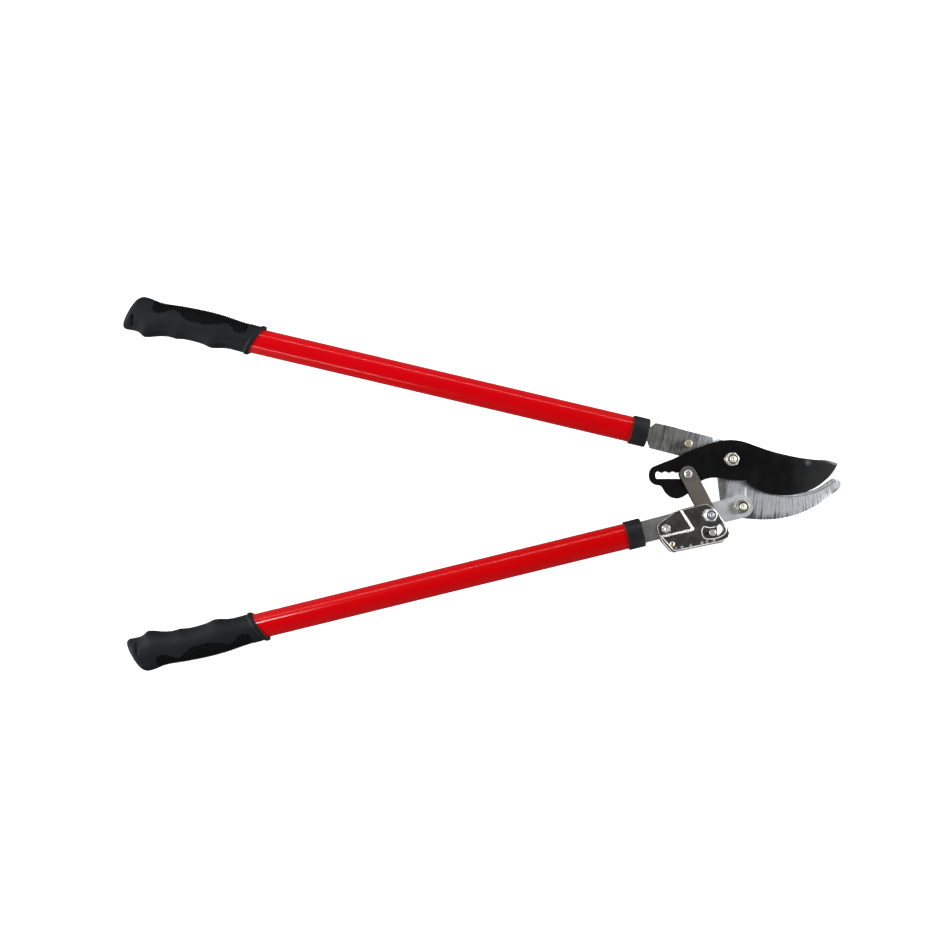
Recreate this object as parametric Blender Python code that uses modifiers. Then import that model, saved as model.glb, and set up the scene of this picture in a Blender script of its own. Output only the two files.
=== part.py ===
"""Ratchet bypass lopper, modelled lying flat: X along the tool, Z up.

The origin is the main pivot axis at the level that the tool rests on.
All driving dimensions are in millimetres and are scaled to metres by MM.
"""
import bpy
import bmesh
import math
from mathutils import Vector, Matrix

MM = 0.001

# ---------------------------------------------------------------- dimensions
# joint axes and pin centres in plan, mm from the main pivot
MAIN = (0.0, 0.0)
HANDLE_PIVOT = (10.8, -49.6)
LINK_PIVOT = (-23.5, -58.1)
RATCHET_PIN = (-45.8, -15.4)
TAIL_PIN = (-20.2, -76.7)
STOP_PIN = (-45.7, 16.3)
SPRING_ANCHOR = (-62.9, -88.5)
COVER_BOLT = (-68.8, -72.4)

# heights of the layers above the rest plane, mm
Z_AXIS = 15.5                    # centre line of both handle tubes
HOOK_Z = (7.2, 15.2)             # forged hook and upper tang
BLADE_Z = (15.5, 21.0)           # blade and lower tang
FRONT_LINK_Z = (21.3, 23.7)
REAR_LINK_Z = (12.8, 15.2)
SHEET = 1.2                      # cover sheet thickness
FRONT_LOW_Z = 21.3               # underside of the recessed front panel
FRONT_HIGH_Z = 26.9              # outside of the raised front panel
REAR_LOW_Z = 9.7                 # outside of the rear cover
REAR_PAD_Z = 15.2                # inside of the rear cover's bolted pad

# handles: s runs outward from the collar's head end along each tube
UPPER_HEAD = (-87.4, 27.4)
UPPER_ANGLE = math.radians(166.72)
LOWER_HEAD = (-92.4, -76.5)
LOWER_ANGLE = math.radians(193.77)
TUBE_R = 13.5
TUBE_BORE = 12.3
TUBE_START = 4.0
TUBE_IN_GRIP = 126.5             # how far the tube reaches past GRIP_S
COLLAR_R = 15.2
COLLAR_LEN = 17.6
SLEEVE_R = 13.8                  # bore of the collars and the grips
TANG_NECK_S = 62.0
UPPER_GRIP_S = 411.9             # zero of the grip stations along each tube
LOWER_GRIP_S = 403.7
PIN_S = 10.0                     # tang cross pin

HEX_M8 = 6.5                     # half the distance across flats
HEX_M5 = 4.0
BOLT_R = 4.0
BOLT_HOLE_R = 4.35

SEG = 24


# ------------------------------------------------------------------- helpers
for old in list(bpy.data.objects):
    bpy.data.objects.remove(old, do_unlink=True)

parts_col = bpy.data.collections.new("ratchet_lopper")
cut_col = bpy.data.collections.new("cutters")
bpy.context.scene.collection.children.link(parts_col)
bpy.context.scene.collection.children.link(cut_col)


def material(name, colour, rough, metal):
    m = bpy.data.materials.new(name)
    m.use_nodes = True
    b = m.node_tree.nodes["Principled BSDF"]
    b.inputs["Base Color"].default_value = (*colour, 1.0)
    b.inputs["Roughness"].default_value = rough
    b.inputs["Metallic"].default_value = metal
    m.diffuse_color = (*colour, 1.0)
    return m


def finish_object(mesh, name, mat):
    obj = bpy.data.objects.new(name, mesh)
    parts_col.objects.link(obj)
    if mat is not None:
        mesh.materials.append(mat)
    mesh.shade_smooth()
    mesh.set_sharp_from_angle(angle=math.radians(35))
    return obj


def as_cutter(obj):
    parts_col.objects.unlink(obj)
    cut_col.objects.link(obj)
    obj.hide_render = True
    obj.display_type = "WIRE"
    return obj


def boolean(obj, other, operation="DIFFERENCE"):
    mod = obj.modifiers.new(operation.lower() + "_" + other.name, "BOOLEAN")
    mod.operation = operation
    mod.solver = "EXACT"
    mod.object = other


def circle(centre, r, n=SEG, start=0.0):
    return [(centre[0] + r * math.cos(start + 2 * math.pi * i / n),
             centre[1] + r * math.sin(start + 2 * math.pi * i / n))
            for i in range(n)]


def arc(centre, r, a0, a1, n):
    return [(centre[0] + r * math.cos(math.radians(a0 + (a1 - a0) * i / n)),
             centre[1] + r * math.sin(math.radians(a0 + (a1 - a0) * i / n)))
            for i in range(n + 1)]


def smooth(points, steps=3, closed=False):
    """Points on a Catmull-Rom curve through the given ones."""
    out = []
    n = len(points)
    last = n if closed else n - 1
    for i in range(last):
        if closed:
            p = [points[(i + k - 1) % n] for k in range(4)]
        else:
            p = [points[max(0, min(n - 1, i + k - 1))] for k in range(4)]
        for j in range(steps):
            t = j / steps
            q = []
            for c in (0, 1):
                a, b, d, e = p[0][c], p[1][c], p[2][c], p[3][c]
                q.append(0.5 * (2 * b + (d - a) * t
                                + (2 * a - 5 * b + 4 * d - e) * t * t
                                + (3 * b - a - 3 * d + e) * t * t * t))
            out.append((q[0], q[1]))
    if not closed:
        out.append(points[-1])
    return out


def hull(circles, n=40):
    """Convex outline round a set of (centre, radius) discs."""
    pts = sorted({(round(x, 4), round(y, 4))
                  for c, r in circles for x, y in circle(c, r, n)})

    def half(seq):
        h = []
        for p in seq:
            while len(h) > 1 and ((h[-1][0] - h[-2][0]) * (p[1] - h[-2][1])
                                  - (h[-1][1] - h[-2][1]) * (p[0] - h[-2][0])) <= 1e-6:
                h.pop()
            h.append(p)
        return h[:-1]
    return half(pts) + half(pts[::-1])


def plate(name, outline, holes, z, mat):
    """A flat plate from an outline curve and its hole curves."""
    cu = bpy.data.curves.new(name + "_outline", "CURVE")
    cu.dimensions = "2D"
    cu.fill_mode = "BOTH"
    cu.extrude = (z[1] - z[0]) / 2 * MM
    for loop in [outline] + list(holes):
        sp = cu.splines.new("POLY")
        sp.points.add(len(loop) - 1)
        for p, (x, y) in zip(sp.points, loop):
            p.co = (x * MM, y * MM, 0.0, 1.0)
        sp.use_cyclic_u = True
    tmp = bpy.data.objects.new(name + "_curve", cu)
    parts_col.objects.link(tmp)
    tmp.location.z = (z[0] + z[1]) / 2 * MM
    bpy.context.view_layer.update()
    dg = bpy.context.evaluated_depsgraph_get()
    mesh = bpy.data.meshes.new_from_object(tmp.evaluated_get(dg))
    mesh.name = name
    mesh.transform(tmp.matrix_world)
    bm = bmesh.new()
    bm.from_mesh(mesh)
    bmesh.ops.remove_doubles(bm, verts=bm.verts, dist=0.00001)
    bmesh.ops.recalc_face_normals(bm, faces=bm.faces)
    bm.to_mesh(mesh)
    bm.free()
    mesh.materials.clear()
    bpy.data.objects.remove(tmp, do_unlink=True)
    bpy.data.curves.remove(cu)
    return finish_object(mesh, name, mat)


def loft(name, rings, mat, closed=False):
    """A skin over rings of equal count; ends capped, or closed to a loop."""
    bm = bmesh.new()
    loops = [[bm.verts.new(Vector(p) * MM) for p in ring] for ring in rings]
    n = len(loops[0])
    pairs = list(zip(loops, loops[1:]))
    if closed:
        pairs.append((loops[-1], loops[0]))
    for a, b in pairs:
        for i in range(n):
            bm.faces.new((a[i], a[(i + 1) % n], b[(i + 1) % n], b[i]))
    if not closed:
        bm.faces.new(loops[0][::-1])
        bm.faces.new(loops[-1])
    bmesh.ops.recalc_face_normals(bm, faces=bm.faces)
    mesh = bpy.data.meshes.new(name)
    bm.to_mesh(mesh)
    bm.free()
    return finish_object(mesh, name, mat)


def prism(name, low, z0, high, z1, mat=None):
    """A block between two outlines of equal count, one above the other."""
    return loft(name, [[(x, y, z0) for x, y in low],
                       [(x, y, z1) for x, y in high]], mat)


def turned(name, profile, centre, mat, segs=SEG, ring=False):
    """A body turned about the vertical through centre from (radius, z)."""
    mesh = bpy.data.meshes.new(name)
    verts = [(r * MM, 0.0, z * MM) for r, z in profile]
    edges = [(i, i + 1) for i in range(len(profile) - 1)]
    if ring:
        edges.append((len(profile) - 1, 0))
    mesh.from_pydata(verts, edges, [])
    obj = bpy.data.objects.new(name, mesh)
    parts_col.objects.link(obj)
    if mat is not None:
        mesh.materials.append(mat)
    sc = obj.modifiers.new("turn", "SCREW")
    sc.axis = "Z"
    sc.angle = 2 * math.pi
    sc.steps = segs
    sc.render_steps = segs
    sc.use_merge_vertices = True
    sc.merge_threshold = 0.00002
    sc.use_smooth_shade = True
    obj.location = (centre[0] * MM, centre[1] * MM, 0.0)
    return obj


def hexagon_radius(half_flats, angle, turn):
    """Distance from the centre to a hexagon with a corner at turn."""
    a = (angle - turn + 1e-9) % (math.pi / 3) - math.pi / 6
    return half_flats / math.cos(a)


def hex_body(name, sections, centre, turn, mat, bore=None, n=24):
    """A stack of hexagonal and round sections: (z, kind, size)."""
    def ring(z, kind, size):
        pts = []
        for i in range(n):
            a = turn + 2 * math.pi * i / n
            r = size if kind == "round" else hexagon_radius(size, a, turn)
            pts.append((centre[0] + r * math.cos(a),
                        centre[1] + r * math.sin(a), z))
        return pts
    rings = [ring(*s) for s in sections]
    if bore:
        top, bottom = sections[-1][0], sections[0][0]
        rings.append(ring(top, "round", bore))
        rings.append(ring(bottom, "round", bore))
        return loft(name, rings, mat, closed=True)
    return loft(name, rings, mat)


class Handle:
    """Places points along one handle: s outward, t to the outer side."""

    def __init__(self, head, angle, outer):
        self.head, self.angle, self.outer = head, angle, outer
        self.d = (math.cos(angle), math.sin(angle))
        self.n = (-self.d[1] * outer, self.d[0] * outer)

    def at(self, s, t):
        return (self.head[0] + s * self.d[0] + t * self.n[0],
                self.head[1] + s * self.d[1] + t * self.n[1])


UPPER = Handle(UPPER_HEAD, UPPER_ANGLE, -1)
LOWER = Handle(LOWER_HEAD, LOWER_ANGLE, 1)

# ------------------------------------------------------------------ materials
STEEL = material("brushed_steel", (0.52, 0.54, 0.56), 0.38, 1.0)
TANG_STEEL = material("tang_steel", (0.42, 0.42, 0.42), 0.42, 1.0)
BLACK = material("black_coating", (0.035, 0.037, 0.04), 0.45, 0.0)
LINK_STEEL = material("link_steel", (0.32, 0.29, 0.25), 0.42, 1.0)
NICKEL = material("nickel_plate", (0.55, 0.55, 0.53), 0.22, 1.0)
ZINC = material("zinc_fasteners", (0.72, 0.72, 0.70), 0.3, 1.0)
BRASS = material("yellow_zinc", (0.62, 0.52, 0.33), 0.35, 1.0)
RED = material("red_paint", (0.78, 0.01, 0.02), 0.2, 0.0)
RUBBER = material("black_rubber", (0.02, 0.022, 0.025), 0.6, 0.0)
PLASTIC = material("black_plastic", (0.015, 0.016, 0.018), 0.4, 0.0)
NYLON = material("blue_nylon", (0.12, 0.14, 0.5), 0.5, 0.0)
SPRING_STEEL = material("spring_steel", (0.45, 0.45, 0.46), 0.3, 1.0)

# --------------------------------------------------------------- joint frames


def axis_empty(name, centre):
    e = bpy.data.objects.new(name, None)
    e.empty_display_size = 0.01
    e.location = (centre[0] * MM, centre[1] * MM, Z_AXIS * MM)
    parts_col.objects.link(e)
    return e


BLADE_AXIS = axis_empty("blade_axis", MAIN)
HANDLE_AXIS = axis_empty("handle_axis", HANDLE_PIVOT)
LINK_AXIS = axis_empty("link_axis", LINK_PIVOT)


def hang(obj, axis):
    obj.parent = axis
    obj.location = obj.location - axis.location
    return obj


# -------------------------------------------------------------------- hook jaw
NECK = 7.65
hook_top = [UPPER.at(TANG_NECK_S, NECK), UPPER.at(-3.2, NECK),
            (-77.9, 38.1), (-59.9, 34.1), (-46.6, 30.3), (-30.5, 26.3),
            (-14.0, 22.0)]
hook_round = smooth([(-14.0, 22.0), (-6.0, 19.6), (4.0, 17.2), (12.5, 12.0),
                     (18.0, 4.0), (19.6, -6.0), (18.0, -15.0),
                     (14.9, -21.8)], 2)[1:]
hook_inner = smooth([(14.9, -21.8), (20.0, -25.5), (27.5, -29.6),
                     (37.0, -33.0), (47.0, -35.0), (58.0, -36.0),
                     (70.0, -35.8), (79.0, -34.7), (89.4, -32.3),
                     (96.9, -28.6), (103.5, -24.0), (108.1, -20.8)], 2)[1:]
hook_tip = smooth([(108.1, -20.8), (111.0, -20.0), (114.7, -22.1),
                   (116.3, -26.3), (114.7, -30.4), (110.0, -34.9)], 2)[1:]
hook_outer = smooth([(110.0, -34.9), (100.7, -42.3), (91.2, -48.5),
                     (81.9, -53.4), (72.5, -57.2), (63.2, -60.0),
                     (53.7, -62.0), (44.4, -63.1), (35.0, -63.4),
                     (25.6, -63.0), (13.0, -61.9), (4.5, -60.2),
                     (-2.6, -56.4), (-7.4, -50.6), (-9.5, -42.3)], 2)[1:]
hook_left = [(-12.1, -19.3)]
hook_under = smooth([(-12.1, -19.3), (-14.8, -10.6), (-22.0, -5.0),
                     (-33.0, -1.4), (-54.0, 4.2)], 2)[1:]
hook_low = [(-69.1, 8.1), (-83.9, 11.9), UPPER.at(-3.2, -NECK),
            UPPER.at(TANG_NECK_S, -NECK)]
hook_outline = (hook_top + hook_round + hook_inner + hook_tip + hook_outer
                + hook_left + hook_under + hook_low)
plate("hook_jaw", hook_outline,
      [circle(MAIN, BOLT_HOLE_R), circle(HANDLE_PIVOT, BOLT_HOLE_R),
       circle(STOP_PIN, 3.1, 24), circle(UPPER.at(PIN_S, 0), 2.7, 20)],
      HOOK_Z, STEEL)

# ---------------------------------------------------------------------- blade
SLOT_LOW = -20.5
SLOT_LEFT = -79.4
PIN_NOTCH_R = 3.55               # the notch that the ratchet pin rests in
PIN_NOTCH_Y = -15.45
NOTCH_R = 4.35                   # the four shallower notches
NOTCH_Y = -17.35
TOOTH_Y = -14.25
NOTCH_PITCH = 7.78
NOTCH_X = [-45.5 - NOTCH_PITCH * i for i in range(5)]
pin_half = math.degrees(math.asin((TOOTH_Y - PIN_NOTCH_Y) / PIN_NOTCH_R))
notch_half = math.degrees(math.asin((TOOTH_Y - NOTCH_Y) / NOTCH_R))
slot = arc((NOTCH_X[0], PIN_NOTCH_Y), PIN_NOTCH_R, 0.0, 180.0 - pin_half, 8)
for nx in NOTCH_X[1:4]:
    slot += arc((nx, NOTCH_Y), NOTCH_R, notch_half, 180.0 - notch_half, 6)
slot += arc((NOTCH_X[4], NOTCH_Y), NOTCH_R, notch_half, 92.0, 3)
slot += arc((SLOT_LEFT + 2.5, NOTCH_Y + NOTCH_R - 2.5), 2.5, 92, 180, 4)
slot += arc((SLOT_LEFT + 2.0, SLOT_LOW + 2.0), 2.0, 180, 270, 4)
slot += arc((NOTCH_X[0] + PIN_NOTCH_R - 2.0, SLOT_LOW + 2.0), 2.0, 270, 360, 4)

blade_back = smooth([(-85.3, -12.9), (-83.2, -9.3), (-79.9, -7.3),
                     (-69.4, -3.0), (-58.5, 1.2), (-49.3, 5.9),
                     (-40.3, 9.9), (-29.9, 13.7), (-19.5, 17.3),
                     (-8.8, 19.7), (1.1, 20.2),
                     (10.1, 19.1), (18.0, 16.8), (27.1, 13.4),
                     (42.2, 8.4), (57.1, 4.6), (72.2, 1.6), (87.1, -0.3),
                     (99.2, -0.9), (105.1, -2.0)], 2)
blade_tip = [(109.6, -3.2), (112.6, -4.2), (111.5, -7.2)]
blade_edge = smooth([(108.9, -11.7), (105.7, -16.0), (101.4, -20.6),
                     (92.2, -27.8), (83.2, -32.6), (72.2, -36.0),
                     (60.2, -37.5), (47.1, -37.0), (37.2, -35.0),
                     (27.1, -31.2), (19.1, -26.2), (15.2, -22.0)], 2)
blade_heel = smooth([(11.5, -22.3), (7.2, -22.4), (0.2, -22.0),
                     (-8.8, -20.3), (-16.0, -19.4), (-24.0, -20.0),
                     (-32.2, -23.2), (-39.0, -29.2), (-44.9, -35.3),
                     (-47.5, -37.4), (-51.7, -39.9), (-56.4, -41.2),
                     (-62.1, -40.2), (-66.2, -37.4), (-69.4, -33.8),
                     (-71.5, -30.1), (-74.0, -27.8), (-78.9, -26.9),
                     (-82.5, -24.9), (-84.9, -21.8), (-85.9, -17.2)], 2)
blade = plate("cutting_blade", blade_back + blade_tip + blade_edge
              + blade_heel,
              [slot, circle(MAIN, 6.3)], BLADE_Z, BLACK)
hang(blade, BLADE_AXIS)
hang(turned("blade_bush", [(4.3, 20.9), (6.0, 20.9), (6.0, 15.6),
                           (4.3, 15.6)], MAIN, BRASS, ring=True),
     BLADE_AXIS)

# ------------------------------------------------------------------ main pivot
hex_body("main_pivot_bolt",
         [(0.0, "hex", 6.0), (0.5, "hex", HEX_M8), (5.2, "hex", HEX_M8),
          (5.2001, "round", BOLT_R), (29.8, "round", BOLT_R),
          (30.6, "round", 3.3)], MAIN, 0.15, ZINC)
turned("main_rear_washer", [(4.35, 7.0), (9.0, 7.0), (9.0, 5.5),
                            (4.35, 5.5)], MAIN, ZINC, ring=True)
lock = plate("main_lock_washer", circle(MAIN, 6.6, 40), [], (21.25, 22.25),
             ZINC)
tab = prism("lock_tab", [(-8.7, -1.6), (-5.0, -1.9), (-5.0, 1.9),
                         (-8.7, 1.9)], 21.25,
            [(-8.7, -1.6), (-5.0, -1.9), (-5.0, 1.9), (-8.7, 1.9)], 22.25)
boolean(lock, as_cutter(tab), "UNION")
bore = prism("lock_bore", circle(MAIN, 4.35), 20.0, circle(MAIN, 4.35), 24.0)
boolean(lock, as_cutter(bore))
hex_body("main_pivot_nut",
         [(22.45, "hex", HEX_M8), (27.9, "hex", HEX_M8),
          (28.7, "round", 6.35)], MAIN, 0.15, ZINC, bore=4.3)

# ---------------------------------------------------------------- handle pivot
hex_body("handle_pivot_bolt",
         [(1.9, "hex", 6.0), (2.4, "hex", HEX_M8), (6.9, "hex", HEX_M8),
          (6.9001, "round", BOLT_R), (28.2, "round", BOLT_R),
          (28.9, "round", 3.4)], HANDLE_PIVOT, 0.3, ZINC)
turned("handle_pivot_washer", [(4.35, 22.4), (7.4, 22.4), (7.4, 21.3),
                               (4.35, 21.3)], HANDLE_PIVOT, ZINC, ring=True)
hex_body("handle_pivot_nut",
         [(22.6, "hex", HEX_M8), (26.9, "hex", HEX_M8),
          (27.6, "round", 6.35)], HANDLE_PIVOT, 0.3, ZINC, bore=4.3)

# -------------------------------------------------------------------- stop pin
turned("blade_stop_pin",
       [(0.0, 28.0), (3.2, 28.0), (4.0, 27.2), (4.0, 15.5), (2.8, 15.5),
        (2.8, 7.4), (0.0, 7.4)], STOP_PIN, BRASS, segs=20)


# --------------------------------------------------------------------- handles
def along(obj, handle, s=0.0):
    """Turn a body built about the vertical so that it lies on a handle."""
    d = Vector((handle.d[0], handle.d[1], 0.0))
    n = Vector((handle.n[0], handle.n[1], 0.0))
    up = d.cross(n)
    x, y = handle.at(s, 0.0)
    m = Matrix((n, up, d)).transposed().to_4x4()
    if m.determinant() < 0:
        m = Matrix((n, -up, d)).transposed().to_4x4()
    m.translation = Vector((x, y, Z_AXIS)) * MM
    obj.matrix_world = m
    return obj


# grip stations: distance from the lip, outer edge, inner edge, half height
GRIP = [(8.6, 16.6, -15.8, 15.0), (10.1, 17.2, -16.4, 15.4),
        (13.1, 17.2, -16.4, 15.4), (14.7, 15.8, -15.2, 15.0),
        (22.0, 16.0, -14.8, 15.0), (34.0, 16.5, -15.1, 15.1),
        (43.0, 17.3, -17.0, 15.3), (48.0, 17.9, -17.9, 15.4),
        (54.0, 18.4, -17.0, 15.5), (66.0, 18.9, -15.7, 15.5),
        (78.0, 18.9, -15.7, 15.5), (87.0, 18.6, -16.6, 15.5),
        (98.0, 18.0, -17.1, 15.5), (107.0, 17.1, -19.5, 15.4),
        (113.0, 16.6, -21.7, 15.3), (118.0, 16.5, -22.8, 15.3),
        (123.0, 16.6, -20.8, 15.3), (129.0, 17.5, -19.0, 15.3),
        (135.0, 18.3, -19.3, 15.3), (138.6, 18.25, -19.45, 15.2),
        (140.7, 17.6, -19.4, 14.9), (142.3, 16.3, -18.8, 14.0),
        (143.9, 13.0, -16.7, 11.8)]


def grip_slant(s):
    """How far a ring leans along the tube for each mm off its axis."""
    return -0.4 + 0.12 * max(0.0, min(1.0, (s - 8.6) / 135.3))


def grip(name, handle, start, n=20):
    rings = []
    for s, outer, inner, half_h in GRIP:
        slant = grip_slant(s)
        mid, half_w = (outer + inner) / 2, (outer - inner) / 2
        ring = []
        for i in range(n):
            a = 2 * math.pi * i / n
            ca, sa = math.cos(a), math.sin(a)
            k = 2.3
            t = mid + half_w * math.copysign(abs(ca) ** (2 / k), ca)
            h = half_h * math.copysign(abs(sa) ** (2 / k), sa)
            x, y = handle.at(start + s + slant * t, t)
            ring.append((x, y, Z_AXIS + h))
        rings.append(ring)
    body = loft(name, rings, RUBBER)
    bore = turned(name + "_bore", [(0.0, 129.5), (SLEEVE_R, 129.5),
                                   (SLEEVE_R, -20.0), (0.0, -20.0)],
                  (0.0, 0.0), None, segs=32)
    along(bore, handle, start)
    boolean(body, as_cutter(bore))
    # shallow hanging pocket on the show side, near the slanted end
    pocket = hull([(handle.at(start + 137.9, -5.6), 2.1),
                   (handle.at(start + 137.2, -13.0), 2.1)], 16)
    hole = prism(name + "_hang_pocket", pocket, Z_AXIS + 9.5, pocket,
                 Z_AXIS + 20.0)
    boolean(body, as_cutter(hole))
    return body


def handle_set(prefix, handle, start, slot_z, slot_half):
    tube_end = start + TUBE_IN_GRIP
    tube = turned(prefix + "_tube",
                  [(TUBE_R, tube_end), (TUBE_R, TUBE_START),
                   (TUBE_BORE, TUBE_START), (TUBE_BORE, tube_end)],
                  (0.0, 0.0), RED, segs=32, ring=True)
    along(tube, handle)
    collar = turned(prefix + "_collar",
                    [(0.0, 2.6), (SLEEVE_R, 2.6), (SLEEVE_R, COLLAR_LEN),
                     (14.9, COLLAR_LEN), (COLLAR_R, COLLAR_LEN - 0.4),
                     (COLLAR_R, 0.6), (COLLAR_R - 0.6, 0.0), (0.0, 0.0)],
                    (0.0, 0.0), PLASTIC, segs=32)
    along(collar, handle)
    gap = 0.3
    opening = [handle.at(-2.0, -slot_half - gap), handle.at(4.0, -slot_half - gap),
               handle.at(4.0, slot_half + gap), handle.at(-2.0, slot_half + gap)]
    cut = prism(prefix + "_collar_slot", opening, slot_z[0] - gap,
                opening, slot_z[1] + gap)
    boolean(collar, as_cutter(cut))
    centre = handle.at(PIN_S, 0.0)
    pin = turned(prefix + "_tang_pin",
                 [(0.0, Z_AXIS + 13.1), (2.4, Z_AXIS + 13.1),
                  (2.4, Z_AXIS - 13.1), (0.0, Z_AXIS - 13.1)],
                 centre, ZINC, segs=20)
    drill = prism(prefix + "_tube_drill", circle(centre, 2.7, 20), -2.0,
                  circle(centre, 2.7, 20), 34.0)
    boolean(tube, as_cutter(drill))
    return [tube, collar, pin, grip(prefix + "_grip", handle, start)]


handle_set("upper", UPPER, UPPER_GRIP_S, HOOK_Z, NECK)
lower_parts = handle_set("lower", LOWER, LOWER_GRIP_S, BLADE_Z, 11.3)

# ------------------------------------------------------------------ lower tang
TANG_HALF = 11.3
END_R = 11.7
LOWER_NECK = 9.0
tang_end = arc(HANDLE_PIVOT, END_R, 104.6, -75.4, 20)
top_side = [LOWER.at(TANG_NECK_S, -LOWER_NECK), LOWER.at(3.6, -LOWER_NECK),
            LOWER.at(3.4, -TANG_HALF)]
low_side = [LOWER.at(3.4, TANG_HALF), LOWER.at(3.6, LOWER_NECK),
            LOWER.at(TANG_NECK_S, LOWER_NECK)]
tang = plate("lower_tang", top_side + tang_end + low_side,
             [circle(HANDLE_PIVOT, BOLT_HOLE_R),
              circle(LINK_PIVOT, BOLT_HOLE_R), circle(COVER_BOLT, 2.8, 20),
              circle(LOWER.at(PIN_S, 0), 2.7, 20)], BLADE_Z, TANG_STEEL)
lower_parts.append(tang)

# ----------------------------------------------------------------- link plates
LINK_HEAD_R = 8.4
LINK_END_R = 8.1


def link_plate(name, z):
    p = plate(name, hull([(RATCHET_PIN, LINK_HEAD_R),
                          (LINK_PIVOT, LINK_END_R)], 48), [], z, LINK_STEEL)
    for tag, c, r in (("pin", RATCHET_PIN, 2.9), ("pivot", LINK_PIVOT, 4.4)):
        boolean(p, as_cutter(prism(name + "_" + tag + "_hole",
                                   circle(c, r, 24), z[0] - 1.0,
                                   circle(c, r, 24), z[1] + 1.0)))
    return p


front_link = link_plate("front_link_plate", FRONT_LINK_Z)
tail_outline = hull([(LINK_PIVOT, 8.8), ((-29.4, -78.0), 5.0),
                     ((-19.1, -78.0), 5.6)], 48)
rear_link = plate("rear_link_plate",
                  hull([(RATCHET_PIN, LINK_HEAD_R), (LINK_PIVOT, LINK_END_R)],
                       48), [], REAR_LINK_Z, LINK_STEEL)
tail = prism("rear_link_tail", tail_outline, REAR_LINK_Z[0],
             tail_outline, REAR_LINK_Z[1])
boolean(rear_link, as_cutter(tail), "UNION")
for tag, c, r in (("pin", RATCHET_PIN, 2.9), ("pivot", LINK_PIVOT, 4.4),
                  ("tail", TAIL_PIN, 2.1)):
    boolean(rear_link, as_cutter(prism("rear_link_" + tag + "_hole",
                                       circle(c, r, 24), 11.0,
                                       circle(c, r, 24), 17.0)))
hang(front_link, LINK_AXIS)
hang(rear_link, LINK_AXIS)
hang(turned("ratchet_pin",
            [(0.0, 25.4), (3.4, 25.4), (4.3, 24.8), (4.3, 23.9), (2.6, 23.9),
             (2.6, 12.6), (4.3, 12.6), (4.3, 11.6), (3.6, 11.1), (0.0, 11.1)],
            RATCHET_PIN, ZINC, segs=20), LINK_AXIS)
hang(turned("link_tail_pin",
            [(0.0, 25.3), (3.1, 25.3), (3.7, 24.8), (3.7, 23.8), (1.6, 23.8),
             (1.6, 12.6), (3.7, 12.6), (3.7, 11.6), (3.1, 11.2), (0.0, 11.2)],
            TAIL_PIN, ZINC, segs=20), LINK_AXIS)

# ------------------------------------------------------------------ link pivot
link_bolt = hex_body("link_pivot_bolt",
                     [(3.9, "hex", 6.0), (4.4, "hex", HEX_M8),
                      (9.4, "hex", HEX_M8), (9.4001, "round", BOLT_R),
                      (33.6, "round", BOLT_R), (34.1, "round", 3.5)],
                     LINK_PIVOT, 0.1, ZINC)
link_nut = hex_body("link_pivot_nut",
                    [(27.2, "hex", HEX_M8), (31.9, "hex", HEX_M8),
                     (32.6, "round", 6.3), (34.3, "round", 6.0),
                     (34.9, "round", 5.5)],
                    LINK_PIVOT, 0.1, ZINC, bore=5.0)
nylon = turned("nylon_insert", [(4.25, 34.5), (4.75, 34.5), (4.75, 31.5),
                                (4.25, 31.5)], LINK_PIVOT, NYLON, ring=True)

# ----------------------------------------------------------------- front cover
WINDOW_IN = 13.8
WINDOW_OUT = 24.3


def window_outline():
    """Arc slot about the link pivot, angles from straight down."""
    def p(r, a):
        a = math.radians(a - 90.0)
        return (LINK_PIVOT[0] + r * math.cos(a),
                LINK_PIVOT[1] + r * math.sin(a))
    pts = [p(WINDOW_IN, a) for a in range(48, -25, -8)]
    pts += [p(WINDOW_IN + 1.0, -26.5), p(WINDOW_IN + 4.0, -26.0),
            p(20.5, -22.0), p(22.8, -17.5)]
    pts += [p(WINDOW_OUT, a) for a in range(-12, 37, 8)]
    pts += [p(23.6, 42.5), p(21.4, 49.0), p(18.0, 52.0), p(14.8, 51.5)]
    return pts


def rear_window_outline():
    """The right hand half of the same slot; the rear cover is whole below
    the rest of it."""
    def p(r, a):
        a = math.radians(a - 90.0)
        return (LINK_PIVOT[0] + r * math.cos(a),
                LINK_PIVOT[1] + r * math.sin(a))
    pts = [p(WINDOW_IN, a) for a in range(48, 0, -8)]
    pts += [p(WINDOW_IN + 1.0, 3.0), p(WINDOW_OUT - 2.0, 3.0)]
    pts += [p(WINDOW_OUT, a) for a in range(8, 37, 7)]
    pts += [p(23.6, 42.5), p(21.4, 49.0), p(18.0, 52.0), p(14.8, 51.5)]
    return pts


cover_outline = smooth([(-76.2, -67.8), (-59.8, -55.2), (-55.3, -53.8)], 1)
cover_outline += [(-28.5, -46.6), (-26.4, -46.9), (-18.9, -51.6),
                  (-14.7, -57.1), (-4.2, -71.6), (-2.6, -75.6),
                  (-3.0, -79.6), (-6.2, -83.7), (-10.8, -85.6),
                  (-57.2, -95.0), (-60.0, -95.4), (-62.2, -94.6),
                  (-75.4, -79.8), (-77.3, -73.6), (-77.6, -70.4)]
front_cover = prism("front_cover", cover_outline, FRONT_LOW_Z,
                    cover_outline, FRONT_HIGH_Z, NICKEL)
# recessed panel, cut from the front with a sloped step
recess_low = [(-95.0, -76.0), (-95.0, -40.0), (-60.0, -40.0),
              (-54.8, -54.0), (-43.6, -72.1), (-74.3, -78.7)]
recess_high = [(-95.0, -79.0), (-95.0, -38.0), (-58.0, -38.0),
               (-52.8, -53.4), (-40.0, -73.9), (-74.0, -81.4)]
cut = prism("front_recess", recess_low, FRONT_LOW_Z + SHEET,
            recess_high, FRONT_HIGH_Z + 0.5)
boolean(front_cover, as_cutter(cut))
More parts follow.
